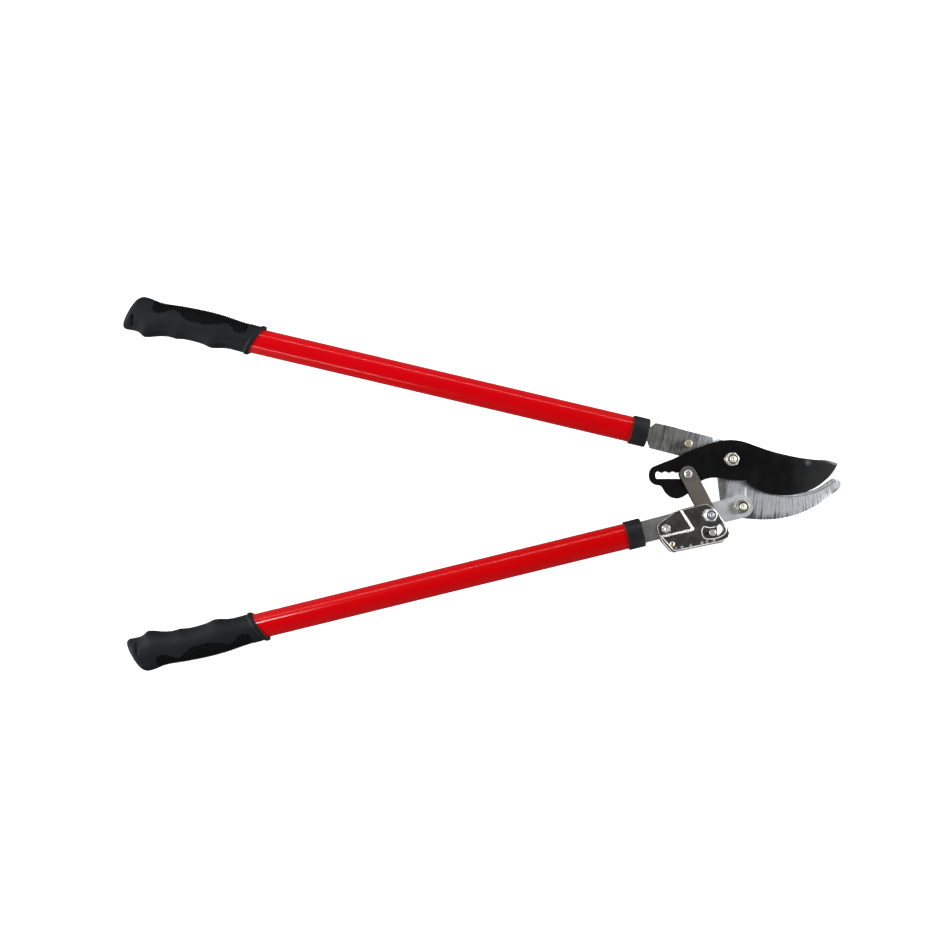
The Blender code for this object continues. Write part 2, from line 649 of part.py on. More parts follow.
# cavity behind the raised panel, open on the side the link leaves by
cavity_low = [(-54.2, -53.3), (-58.5, -40.0), (-10.0, -40.0),
              (-5.0, -55.0), (-12.0, -60.4), (-13.6, -60.9),
              (-5.7, -71.9), (-4.1, -75.7), (-4.4, -79.3), (-7.2, -82.8),
              (-11.3, -84.4), (-57.0, -93.7), (-60.2, -93.8),
              (-72.2, -81.2), (-42.6, -74.0)]
cavity_high = [(-51.6, -53.3), (-55.5, -40.0), (-10.0, -40.0),
               (-5.0, -55.0), (-12.0, -60.4), (-13.6, -60.9),
               (-5.7, -71.9), (-4.1, -75.7), (-4.4, -79.3), (-7.2, -82.8),
               (-11.3, -84.4), (-57.0, -93.7), (-60.2, -93.8),
               (-70.0, -83.2), (-38.6, -75.0)]
cut = prism("front_cavity", cavity_low, FRONT_LOW_Z - 1.0,
            cavity_high, FRONT_HIGH_Z - SHEET)
boolean(front_cover, as_cutter(cut))
cut = prism("front_window", window_outline(), FRONT_LOW_Z - 1.0,
            window_outline(), FRONT_HIGH_Z + 2.0)
boolean(front_cover, as_cutter(cut))
for tag, c, r in (("link", LINK_PIVOT, 4.4), ("bolt", COVER_BOLT, 2.8),
                  ("rivet", SPRING_ANCHOR, 2.2)):
    boolean(front_cover, as_cutter(prism(
        "front_" + tag + "_hole", circle(c, r, 24), FRONT_LOW_Z - 2.0,
        circle(c, r, 24), FRONT_HIGH_Z + 2.0)))

# ------------------------------------------------------------------ rear cover
REAR_SKIRT_Z = 25.0
rear_outline = [(-76.2, -67.8), (-59.8, -55.2), (-55.3, -53.8),
                (-28.5, -46.6), (-18.9, -51.6), (-14.7, -57.1),
                (-4.2, -71.6), (-2.6, -75.6), (-3.0, -79.6),
                (-6.2, -85.0), (-10.4, -87.6), (-56.8, -97.0),
                (-60.2, -98.2), (-63.2, -97.2), (-72.6, -86.6),
                (-76.2, -80.0), (-77.6, -72.4)]
rear_cover = prism("rear_cover", rear_outline, REAR_LOW_Z,
                   rear_outline, REAR_SKIRT_Z, NICKEL)
rear_inner = [(-90.0, -60.0), (-60.0, -30.0), (10.0, -30.0),
              (10.0, -80.0), (-6.4, -85.0), (-10.7, -86.0),
              (-57.0, -95.5), (-60.3, -96.6), (-62.4, -96.0),
              (-71.4, -85.8), (-90.0, -78.0)]
cavity = prism("rear_cavity", rear_inner, REAR_LOW_Z + SHEET,
               rear_inner, REAR_SKIRT_Z + 2.0)
# bolted pad pressed up to the tang, left standing by the cavity
pad_low = [(-100.0, -82.6), (-100.0, -20.0), (-60.0, -20.0),
           (-51.8, -62.5), (-54.4, -80.6)]
pad_high = [(-100.0, -80.6), (-100.0, -20.0), (-62.0, -20.0),
            (-54.8, -63.5), (-57.2, -78.6)]
pad = prism("rear_pad", pad_low, REAR_LOW_Z - 1.0, pad_high, REAR_PAD_Z)
boolean(cavity, as_cutter(pad))
boolean(rear_cover, as_cutter(cavity))
dimple_low = [(-90.0, -82.0), (-90.0, -68.0), (-80.0, -60.0), (-60.5, -48.0),
              (-53.6, -62.6), (-56.2, -79.2)]
dimple_high = [(-90.0, -80.2), (-90.0, -68.0), (-80.0, -60.0),
               (-60.5, -48.0), (-56.6, -64.0), (-58.8, -77.2)]
cut = prism("rear_dimple", dimple_low, REAR_LOW_Z - 0.6,
            dimple_high, REAR_PAD_Z - SHEET)
boolean(rear_cover, as_cutter(cut))
cut = prism("rear_window", rear_window_outline(), REAR_LOW_Z - 2.0,
            rear_window_outline(), REAR_LOW_Z + 4.0)
boolean(rear_cover, as_cutter(cut))
for tag, c, r in (("link", LINK_PIVOT, 4.4), ("bolt", COVER_BOLT, 2.8),
                  ("rivet", SPRING_ANCHOR, 2.2)):
    boolean(rear_cover, as_cutter(prism(
        "rear_" + tag + "_hole", circle(c, r, 24), REAR_LOW_Z - 2.0,
        circle(c, r, 24), REAR_PAD_Z + 2.0)))

# ------------------------------------------------------------ cover fasteners
cover_bolt = hex_body("cover_bolt",
                      [(8.8, "round", 2.5), (22.6999, "round", 2.5),
                       (22.7, "hex", HEX_M5), (25.7, "hex", HEX_M5),
                       (26.2, "round", 3.8)], COVER_BOLT, 0.55, ZINC)
cover_nut = hex_body("cover_nut",
                     [(9.9, "hex", 3.8), (10.3, "hex", HEX_M5),
                      (13.8, "hex", HEX_M5)], COVER_BOLT, 0.55, ZINC,
                     bore=2.75)
anchor = turned("spring_anchor_rivet",
                [(0.9, 28.0), (2.1, 28.0), (2.7, 27.6), (2.7, 27.1),
                 (1.6, 27.1), (1.6, 9.5), (2.9, 9.5), (2.9, 8.9),
                 (2.3, 8.5), (0.9, 8.5)], SPRING_ANCHOR, BRASS, segs=16,
                ring=True)

# --------------------------------------------------------------- return spring
# coil between the anchor rivet and the link's tail pin, with an eye on each
COIL_R = 2.7
WIRE_R = 0.5
COIL_TURNS = 14
EYE_R = 2.4
SPRING_Z = 18.6


def spring_points():
    a = Vector((SPRING_ANCHOR[0], SPRING_ANCHOR[1], SPRING_Z))
    b = Vector((TAIL_PIN[0], TAIL_PIN[1], SPRING_Z))
    d = (b - a).normalized()
    side = Vector((-d.y, d.x, 0.0))
    up = Vector((0.0, 0.0, 1.0))
    length = (b - a).length
    start, end = 8.6, length - 8.6
    pts = []
    for i in range(11):
        ang = math.radians(100 - 280 * (1 - i / 10))
        pts.append(a + d * (EYE_R * math.cos(ang)) + side * (EYE_R * math.sin(ang)))
    n = COIL_TURNS * 8
    for i in range(n + 1):
        t = i / n
        ang = 2 * math.pi * COIL_TURNS * t
        pts.append(a + d * (start + (end - start) * t)
                   + side * (COIL_R * math.cos(ang))
                   + up * (COIL_R * math.sin(ang)))
    for i in range(11):
        ang = math.radians(80 - 280 * (i / 10))
        pts.append(b - d * (EYE_R * math.cos(ang)) + side * (EYE_R * math.sin(ang)))
    return pts


cu = bpy.data.curves.new("return_spring", "CURVE")
cu.dimensions = "3D"
cu.bevel_depth = WIRE_R * MM
cu.bevel_resolution = 0
cu.use_fill_caps = True
sp = cu.splines.new("POLY")
coil = spring_points()
sp.points.add(len(coil) - 1)
for p, q in zip(sp.points, coil):
    p.co = (q.x * MM, q.y * MM, q.z * MM, 1.0)
spring = bpy.data.objects.new("return_spring", cu)
cu.materials.append(SPRING_STEEL)
parts_col.objects.link(spring)

# ------------------------------------------------------ lower handle's parent
bpy.context.view_layer.update()
for obj in lower_parts + [front_cover, rear_cover, cover_bolt, cover_nut,
                          anchor, link_bolt, link_nut, nylon, spring]:
    world = obj.matrix_world.copy()
    obj.parent = HANDLE_AXIS
    obj.matrix_parent_inverse = Matrix.Translation(-HANDLE_AXIS.location)
    obj.matrix_basis = world
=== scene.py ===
"""Visual model of a ratchet bypass lopper, lying on a pale studio floor.

Lengths are in millimetres in the tables and are scaled to metres by MM.
X runs along the tool towards the blade tip, Z is up.
"""

import bpy
import bmesh
import math
from mathutils import Matrix, Vector
from mathutils.geometry import tessellate_polygon


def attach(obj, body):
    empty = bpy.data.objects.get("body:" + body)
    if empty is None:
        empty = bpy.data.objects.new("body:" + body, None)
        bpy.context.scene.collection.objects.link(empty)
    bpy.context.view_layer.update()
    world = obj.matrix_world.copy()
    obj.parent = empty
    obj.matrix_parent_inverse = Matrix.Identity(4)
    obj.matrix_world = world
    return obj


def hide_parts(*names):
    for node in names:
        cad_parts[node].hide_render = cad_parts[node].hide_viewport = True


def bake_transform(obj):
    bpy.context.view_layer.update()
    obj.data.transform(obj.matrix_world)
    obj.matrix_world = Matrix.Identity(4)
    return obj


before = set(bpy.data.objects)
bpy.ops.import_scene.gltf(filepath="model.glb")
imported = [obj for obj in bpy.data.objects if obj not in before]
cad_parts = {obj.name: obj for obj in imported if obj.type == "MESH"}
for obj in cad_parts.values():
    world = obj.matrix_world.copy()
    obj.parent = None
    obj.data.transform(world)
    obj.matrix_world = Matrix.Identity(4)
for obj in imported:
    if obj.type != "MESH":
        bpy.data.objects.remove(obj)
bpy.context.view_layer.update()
scene = bpy.context.scene
MM = 0.001
TAU = 2 * math.pi

# --------------------------------------------------------------------- camera
PX_MM = 1.05                 # picture scale at the handle mid-plane
CAM_H = 1250.0               # camera height over that plane
Z_AXIS = 15.5
cam_data = bpy.data.cameras.new("camera")
cam_data.sensor_fit = "HORIZONTAL"
cam_data.sensor_width = 36.0
cam_data.lens = 36.0 * CAM_H / (950 * PX_MM)
cam_data.clip_start = 0.01
cam_data.clip_end = 60.0
cam = bpy.data.objects.new("camera", cam_data)
scene.collection.objects.link(cam)
cam.location = (-268.08 * MM, -16.52 * MM, (Z_AXIS + CAM_H) * MM)
scene.camera = cam

# ----------------------------------------------------------------- dimensions
MAIN = (0.0, 0.0)
HANDLE_PIVOT = (10.8, -49.6)
LINK_PIVOT = (-23.5, -58.1)
RATCHET_PIN = (-45.8, -15.4)
TAIL_PIN = (-20.2, -76.7)
STOP_PIN = (-45.7, 16.3)
SPRING_ANCHOR = (-62.9, -88.5)
COVER_BOLT = (-68.8, -72.4)
HOOK_Z = (7.2, 15.2)
BLADE_Z = (15.5, 21.0)
FRONT_LINK_Z = (21.3, 23.7)
REAR_LINK_Z = (12.8, 15.2)
SHEET = 1.2
TUBE_R = 13.5
TUBE_BORE = 12.3
TUBE_START = 4.0
TUBE_IN_GRIP = 126.5
COLLAR_R = 15.2
COLLAR_LEN = 17.6
SLEEVE_R = 13.8
TANG_NECK_S = 62.0
UPPER_GRIP_S = 411.9
LOWER_GRIP_S = 403.7
PIN_S = 10.0
HEX_M8 = 6.5
HEX_M5 = 4.0
BOLT_R = 4.0


# ------------------------------------------------------------ outline helpers
def circle(c, r, n=48, start=0.0):
    return [(c[0] + r * math.cos(start + TAU * i / n),
             c[1] + r * math.sin(start + TAU * i / n)) for i in range(n)]


def arc(c, r, a0, a1, n):
    return [(c[0] + r * math.cos(math.radians(a0 + (a1 - a0) * i / n)),
             c[1] + r * math.sin(math.radians(a0 + (a1 - a0) * i / n)))
            for i in range(n + 1)]


def smooth(points, steps=6, closed=False):
    """Points on a Catmull-Rom curve through the given ones."""
    out = []
    n = len(points)
    for i in range(n if closed else n - 1):
        if closed:
            p = [points[(i + k - 1) % n] for k in range(4)]
        else:
            p = [points[max(0, min(n - 1, i + k - 1))] for k in range(4)]
        for j in range(steps):
            t = j / steps
            q = []
            for c in range(len(points[0])):
                a, b, d, e = p[0][c], p[1][c], p[2][c], p[3][c]
                q.append(0.5 * (2 * b + (d - a) * t
                                + (2 * a - 5 * b + 4 * d - e) * t * t
                                + (3 * b - a - 3 * d + e) * t * t * t))
            out.append(tuple(q))
    if not closed:
        out.append(tuple(points[-1]))
    return out


def rounded(points, radius, steps=5):
    """A closed polygon with its corners rounded; radius is one or a list."""
    out = []
    n = len(points)
    for i, b in enumerate(points):
        r = radius[i] if isinstance(radius, (list, tuple)) else radius
        a, c = Vector(points[i - 1]), Vector(points[(i + 1) % n])
        b = Vector(b)
        u, v = (a - b), (c - b)
        lu, lv = u.length, v.length
        u, v = u / lu, v / lv
        ang = math.acos(max(-1.0, min(1.0, u.dot(v))))
        if r <= 0.0 or ang > math.radians(176):
            out.append((b.x, b.y))
            continue
        cut = min(r / math.tan(ang / 2), 0.48 * lu, 0.48 * lv)
        p0, p2 = b + u * cut, b + v * cut
        for j in range(steps + 1):
            t = j / steps
            q = p0 * (1 - t) ** 2 + b * (2 * t * (1 - t)) + p2 * t * t
            out.append((q.x, q.y))
    return out


def resample(points, step):
    """Splits the long sides of a closed polygon; every corner is kept."""
    out = []
    for i, a in enumerate(points):
        b = points[(i + 1) % len(points)]
        d = math.hypot(b[0] - a[0], b[1] - a[1])
        k = max(1, int(round(d / step)))
        for j in range(k):
            out.append((a[0] + (b[0] - a[0]) * j / k,
                        a[1] + (b[1] - a[1]) * j / k))
    return out


def area_of(points):
    return 0.5 * sum(points[i - 1][0] * p[1] - p[0] * points[i - 1][1]
                     for i, p in enumerate(points))


def counter_clockwise(points):
    return list(points) if area_of(points) > 0 else list(points)[::-1]


def inset(points, dist):
    """Moves a counter-clockwise polygon's corners inward; dist one or a list."""
    n = len(points)
    out = []
    for i in range(n):
        a, b, c = (Vector(points[i - 1]), Vector(points[i]),
                   Vector(points[(i + 1) % n]))
        d0, d1 = (b - a).normalized(), (c - b).normalized()
        n0, n1 = Vector((-d0.y, d0.x)), Vector((-d1.y, d1.x))
        m = n0 + n1
        m = m / max(0.35, m.length_squared) * 2.0
        k = dist[i] if isinstance(dist, (list, tuple)) else dist
        out.append((b.x + m.x * k, b.y + m.y * k))
    return out


def hull(circles, n=72):
    pts = sorted({(round(x, 4), round(y, 4))
                  for c, r in circles for x, y in circle(c, r, n)})

    def half(seq):
        h = []
        for p in seq:
            while len(h) > 1 and ((h[-1][0] - h[-2][0]) * (p[1] - h[-2][1])
                                  - (h[-1][1] - h[-2][1])
                                  * (p[0] - h[-2][0])) <= 1e-6:
                h.pop()
            h.append(p)
        return h[:-1]
    return half(pts) + half(pts[::-1])


def clamp(x, lo=0.0, hi=1.0):
    return max(lo, min(hi, x))


def step(x, a, b):
    """Smooth rise from 0 at a to 1 at b."""
    t = clamp((x - a) / (b - a))
    return t * t * (3 - 2 * t)


def distance_to(line):
    """Returns a function giving the distance from (x, y) to an open line."""
    segs = []
    for a, b in zip(line, line[1:]):
        dx, dy = b[0] - a[0], b[1] - a[1]
        segs.append((a[0], a[1], dx, dy, dx * dx + dy * dy or 1e-9))

    def dist(x, y):
        best = 1e9
        for ax, ay, dx, dy, dd in segs:
            t = ((x - ax) * dx + (y - ay) * dy) / dd
            t = 0.0 if t < 0 else 1.0 if t > 1 else t
            ex, ey = x - ax - dx * t, y - ay - dy * t
            e = ex * ex + ey * ey
            if e < best:
                best = e
        return math.sqrt(best)
    return dist


def table(rows):
    """Smooth lookup of a row of numbers by the first one."""
    xs = [r[0] for r in rows]

    def look(x):
        if x <= xs[0]:
            return rows[0][1:]
        if x >= xs[-1]:
            return rows[-1][1:]
        i = max(k for k in range(len(xs) - 1) if xs[k] <= x)
        i = min(i, len(xs) - 2)
        t = (x - xs[i]) / (xs[i + 1] - xs[i])
        out = []
        for c in range(1, len(rows[0])):
            b, d = rows[i][c], rows[i + 1][c]
            w = xs[i + 1] - xs[i]
            mb = ((rows[i + 1][c] - rows[i - 1][c])
                  / (xs[i + 1] - xs[i - 1])) if i > 0 else (d - b) / w
            md = ((rows[i + 2][c] - b) / (xs[i + 2] - xs[i])
                  if i + 2 < len(xs) else (d - b) / w)
            t2, t3 = t * t, t * t * t
            out.append((2 * t3 - 3 * t2 + 1) * b + (t3 - 2 * t2 + t) * w * mb
                       + (-2 * t3 + 3 * t2) * d + (t3 - t2) * w * md)
        return out
    return look


# --------------------------------------------------------------- mesh helpers
def place(name, bm, mats, angle=32.0, matrix=None):
    me = bpy.data.meshes.new(name)
    bm.to_mesh(me)
    bm.free()
    if matrix is not None:
        me.transform(matrix)
    me.transform(Matrix.Scale(MM, 4))
    for m in (mats if isinstance(mats, (list, tuple)) else [mats]):
        me.materials.append(m)
    ob = bpy.data.objects.new(name, me)
    scene.collection.objects.link(ob)
    me.shade_smooth()
    if angle:
        me.set_sharp_from_angle(angle=math.radians(angle))
    return ob


def piece(ob, body, slot, *nodes):
    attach(ob, body)
    if nodes:
        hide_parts(*nodes)
    return ob


def cap(loops, cuts=()):
    """A triangulated region in the plane, split along the given cuts."""
    bm = bmesh.new()
    flat = [p for loop in loops for p in loop]
    vs = [bm.verts.new((x, y, 0.0)) for x, y in flat]
    polys = [[Vector((x, y, 0.0)) for x, y in loop] for loop in loops]
    for t in tessellate_polygon(polys):
        try:
            f = bm.faces.new([vs[i] for i in t])
        except ValueError:
            continue
        f.normal_update()
        if f.normal.z < 0:
            f.normal_flip()
    for co, no in cuts:
        bmesh.ops.bisect_plane(bm, geom=bm.verts[:] + bm.edges[:] + bm.faces[:],
                               dist=1e-5, plane_co=(co[0], co[1], 0.0),
                               plane_no=(no[0], no[1], 0.0))
    return bm


def grid(loop, pitch, box=None):
    xs, ys = [p[0] for p in loop], [p[1] for p in loop]
    x0, x1, y0, y1 = box or (min(xs), max(xs), min(ys), max(ys))
    cuts = []
    k = int((x1 - x0) / pitch)
    cuts += [((x0 + (i + 0.5) * pitch, 0.0), (1.0, 0.0)) for i in range(k)]
    k = int((y1 - y0) / pitch)
    cuts += [((0.0, y0 + (i + 0.5) * pitch), (0.0, 1.0)) for i in range(k)]
    return cuts


def slab(name, outline, holes, z, mats, bevel=0.35, segs=2, pitch=None,
         top=None, bottom=None, hole_bevel=True):
    """A closed plate; its two faces may follow height functions."""
    loops = [outline] + list(holes)
    bm = cap(loops, grid(outline, pitch) if pitch else ())
    low_faces = bm.faces[:]
    dup = bmesh.ops.duplicate(bm, geom=bm.verts[:] + bm.edges[:] + bm.faces[:])
    vmap = dup["vert_map"]
    rim = [e for e in bm.edges if len(e.link_faces) == 1
           and e.link_faces[0] in set(low_faces)]
    low_verts = {v for f in low_faces for v in f.verts}
    pairs = [(e.verts[0], e.verts[1]) for e in rim]
    for a, b in pairs:
        bm.faces.new((a, b, vmap[b], vmap[a]))
    for v in bm.verts:
        if v in low_verts:
            v.co.z = bottom(v.co.x, v.co.y) if bottom else z[0]
        else:
            v.co.z = top(v.co.x, v.co.y) if top else z[1]
    bmesh.ops.recalc_face_normals(bm, faces=bm.faces)
    ob = place(name, bm, mats, angle=0)
    if bevel:
        mod = ob.modifiers.new("edges", "BEVEL")
        mod.width = bevel * MM
        mod.segments = segs
        mod.limit_method = "ANGLE"
        mod.angle_limit = math.radians(55)
        mod.harden_normals = True
        mod.use_clamp_overlap = True
        mod.miter_outer = "MITER_ARC"
    return ob


def lathe(name, profile, centre, mats, segs=64, ring=False, matrix=None,
          angle=32.0, phase=0.0):
    """A turned body from (radius, z); radius 0 closes it on the axis."""
    bm = bmesh.new()
    rows = []
    for r, z in profile:
        if r < 1e-6:
            rows.append([bm.verts.new((centre[0], centre[1], z))])
        else:
            rows.append([bm.verts.new(
                (centre[0] + r * math.cos(phase + TAU * i / segs),
                 centre[1] + r * math.sin(phase + TAU * i / segs), z))
                for i in range(segs)])
    pairs = list(zip(rows, rows[1:]))
    if ring:
        pairs.append((rows[-1], rows[0]))
    for a, b in pairs:
        for i in range(segs):
            j = (i + 1) % segs
            if len(a) == 1 and len(b) == 1:
                continue
            if len(a) == 1:
                bm.faces.new((a[0], b[j], b[i]))
            elif len(b) == 1:
                bm.faces.new((a[i], a[j], b[0]))
            else:
                bm.faces.new((a[i], a[j], b[j], b[i]))
    bmesh.ops.recalc_face_normals(bm, faces=bm.faces)
    return place(name, bm, mats, angle, matrix)


def skin(name, rings, mats, close_start=False, close_end=False, angle=40.0,
         closed=False):
    """A surface through rings of equal count; ends close to a centre point."""
    bm = bmesh.new()
    loops = [[bm.verts.new(p) for p in ring] for ring in rings]
    n = len(loops[0])
    pairs = list(zip(loops, loops[1:]))
    if closed:
        pairs.append((loops[-1], loops[0]))
    for a, b in pairs:
        for i in range(n):
            j = (i + 1) % n
            bm.faces.new((a[i], a[j], b[j], b[i]))
    for want, loop in ((close_start, loops[0]), (close_end, loops[-1])):
        if want:
            c = Vector((0, 0, 0))
            for v in loop:
                c += v.co
            cv = bm.verts.new(c / n)
            for i in range(n):
                bm.faces.new((loop[i], loop[(i + 1) % n], cv))
    bmesh.ops.recalc_face_normals(bm, faces=bm.faces)
    return place(name, bm, mats, angle)


def sweep(name, pts, radius, n, mats):
    """A round wire along a list of points."""
    pts = [Vector(p) for p in pts]
    rings = []
    t0 = (pts[1] - pts[0]).normalized()
    side = t0.orthogonal().normalized()
    for i, p in enumerate(pts):
        t = (pts[min(i + 1, len(pts) - 1)] - pts[max(i - 1, 0)]).normalized()
        side = (side - t * side.dot(t)).normalized()
        up = t.cross(side)
        rings.append([p + (side * math.cos(TAU * k / n)
                           + up * math.sin(TAU * k / n)) * radius
                      for k in range(n)])
    return skin(name, rings, mats, True, True, 60.0)


def hexagon(half, a, turn, corner=0.985):
    """Radius of a hexagon with a corner at turn, its corners eased."""
    b = (a - turn + 1e-9) % (math.pi / 3) - math.pi / 6
    return min(half / math.cos(b), half / math.cos(math.pi / 6) * corner)


def hex_solid(name, centre, half, turn, z0, z1, mats, bore=None, top_round=True,
              low_round=True, extra=None, n=96, tilt=30.0, face=0.965):
    """A hexagonal nut or bolt head with turned chamfers on its corners.

    extra adds round sections (radius, z) that carry on from the top face
    inward, such as a lock collar or a shank; bore opens it instead.
    """
    rc = half * face
    tan = math.tan(math.radians(tilt))
    rows = []

    def row(fn):
        rows.append([(centre[0] + r * math.cos(a), centre[1] + r * math.sin(a),
                      z) for a in (turn + TAU * i / n for i in range(n))
                     for r, z in (fn(a),)])

    def drop(a, ease):
        r = hexagon(half, a, turn)
        return r, max(0.0, r - rc) * tan + ease
    if bore:
        row(lambda a: (bore, z0 + 0.5))
        row(lambda a: (bore + 0.5, z0))
    if low_round:
        row(lambda a: (rc * 0.995, z0))
        row(lambda a: (hexagon(half, a, turn) - 0.12, z0 + drop(a, 0.0)[1] * 0.9))
        row(lambda a: (hexagon(half, a, turn), z0 + drop(a, 0.14)[1]))
    else:
        row(lambda a: (hexagon(half, a, turn) - 0.15, z0))
        row(lambda a: (hexagon(half, a, turn), z0 + 0.15))
    if top_round:
        row(lambda a: (hexagon(half, a, turn), z1 - drop(a, 0.16)[1]))
        row(lambda a: (hexagon(half, a, turn) - 0.14, z1 - drop(a, 0.0)[1] * 0.92))
        row(lambda a: (rc, z1 - 0.04))
        row(lambda a: (rc - 0.25, z1))
    else:
        row(lambda a: (hexagon(half, a, turn), z1 - 0.15))
        row(lambda a: (hexagon(half, a, turn) - 0.15, z1))
    for r, z in extra or []:
        row(lambda a, r=r, z=z: (r, z))
    if bore:
        return skin(name, rows, mats, closed=True, angle=32.0)
    return skin(name, rows, mats, True, True, angle=32.0)


def thread(r, z0, z1, pitch=1.25, depth=0.55):
    """Profile rows (radius, z) of thread ridges from z0 up to z1."""
    out = []
    z = z0
    while z + pitch < z1:
        out += [(r - depth, z + 0.16), (r - depth, z + 0.3),
                (r, z + pitch * 0.55), (r, z + pitch * 0.7)]
        z += pitch
    return out


# -------------------------------------------------------------- shader helper
class Shader:
    def __init__(self, name, metallic=0.0, rough=0.5, colour=(0.5, 0.5, 0.5)):
        self.m = bpy.data.materials.new(name)
        self.m.use_nodes = True
        self.t = self.m.node_tree
        self.b = self.t.nodes["Principled BSDF"]
        self.set("Metallic", metallic)
        self.set("Roughness", rough)
        self.set("Base Color", (*colour, 1.0))
        self.m.diffuse_color = (*colour, 1.0)
        self.co = self.node("ShaderNodeTexCoord").outputs["Object"]

    def node(self, kind, **props):
        nd = self.t.nodes.new(kind)
        for k, v in props.items():
            setattr(nd, k, v)
        return nd

    def put(self, socket, value):
        if isinstance(value, bpy.types.NodeSocket):
            self.t.links.new(value, socket)
        elif value is not None:
            socket.default_value = value

    def set(self, name, value):
        self.put(self.b.inputs[name], value)

    def map(self, scale=(1, 1, 1), turn=0.0, vec=None):
        mp = self.node("ShaderNodeMapping")
        self.put(mp.inputs["Vector"], vec or self.co)
        mp.inputs["Rotation"].default_value = (0, 0, turn)
        mp.inputs["Scale"].default_value = scale
        return mp.outputs["Vector"]

    def turned(self, angle, scale):
        """Coordinates turned to lie along an angle, then scaled."""
        first = self.map(turn=-angle)
        return self.map(scale=scale, vec=first)

    def noise(self, scale, detail=3.0, rough=0.55, vec=None, distort=0.0):
        nd = self.node("ShaderNodeTexNoise")
        self.put(nd.inputs["Vector"], vec or self.co)
        nd.inputs["Scale"].default_value = scale
        nd.inputs["Detail"].default_value = detail
        nd.inputs["Roughness"].default_value = rough
        nd.inputs["Distortion"].default_value = distort
        return nd.outputs["Fac"]

    def ramp(self, fac, stops, kind="LINEAR"):
        nd = self.node("ShaderNodeValToRGB")
        self.put(nd.inputs["Fac"], fac)
        nd.color_ramp.interpolation = kind
        el = nd.color_ramp.elements
        while len(el) < len(stops):
            el.new(0.5)
        for e, (p, c) in zip(el, stops):
            e.position = p
            e.color = (*c, 1.0) if isinstance(c, tuple) else (c, c, c, 1.0)
        return nd.outputs["Color"]

    def math(self, op, a, b=None, c=None, clamp_it=False):
        nd = self.node("ShaderNodeMath", operation=op, use_clamp=clamp_it)
        self.put(nd.inputs[0], a)
        if b is not None:
            self.put(nd.inputs[1], b)
        if c is not None:
            self.put(nd.inputs[2], c)
        return nd.outputs[0]

    def mix(self, fac, a, b, mode="MIX"):
        nd = self.node("ShaderNodeMix", data_type="RGBA", blend_type=mode)
        self.put(nd.inputs[0], fac)
        for socket, v in ((nd.inputs[6], a), (nd.inputs[7], b)):
            self.put(socket, (*v, 1.0) if isinstance(v, tuple) else v)
        return nd.outputs[2]

    def xyz(self, vec=None):
        nd = self.node("ShaderNodeSeparateXYZ")
        self.put(nd.inputs[0], vec or self.co)
        return nd.outputs

    def join(self, x, y, z):
        nd = self.node("ShaderNodeCombineXYZ")
        for s, v in zip(nd.inputs, (x, y, z)):
            self.put(s, v)
        return nd.outputs[0]

    def range(self, v, a, b, c=0.0, d=1.0):
        nd = self.node("ShaderNodeMapRange", interpolation_type="SMOOTHSTEP")
        self.put(nd.inputs[0], v)
        for i, k in enumerate((a, b, c, d)):
            nd.inputs[i + 1].default_value = k
        return nd.outputs[0]

    def bump(self, height, strength=0.3, distance=0.0002, normal=None):
        nd = self.node("ShaderNodeBump")
        nd.inputs["Strength"].default_value = strength
        nd.inputs["Distance"].default_value = distance
        self.put(nd.inputs["Height"], height)
        if normal is not None:
            self.put(nd.inputs["Normal"], normal)
        self.set("Normal", nd.outputs["Normal"])
        return nd.outputs["Normal"]


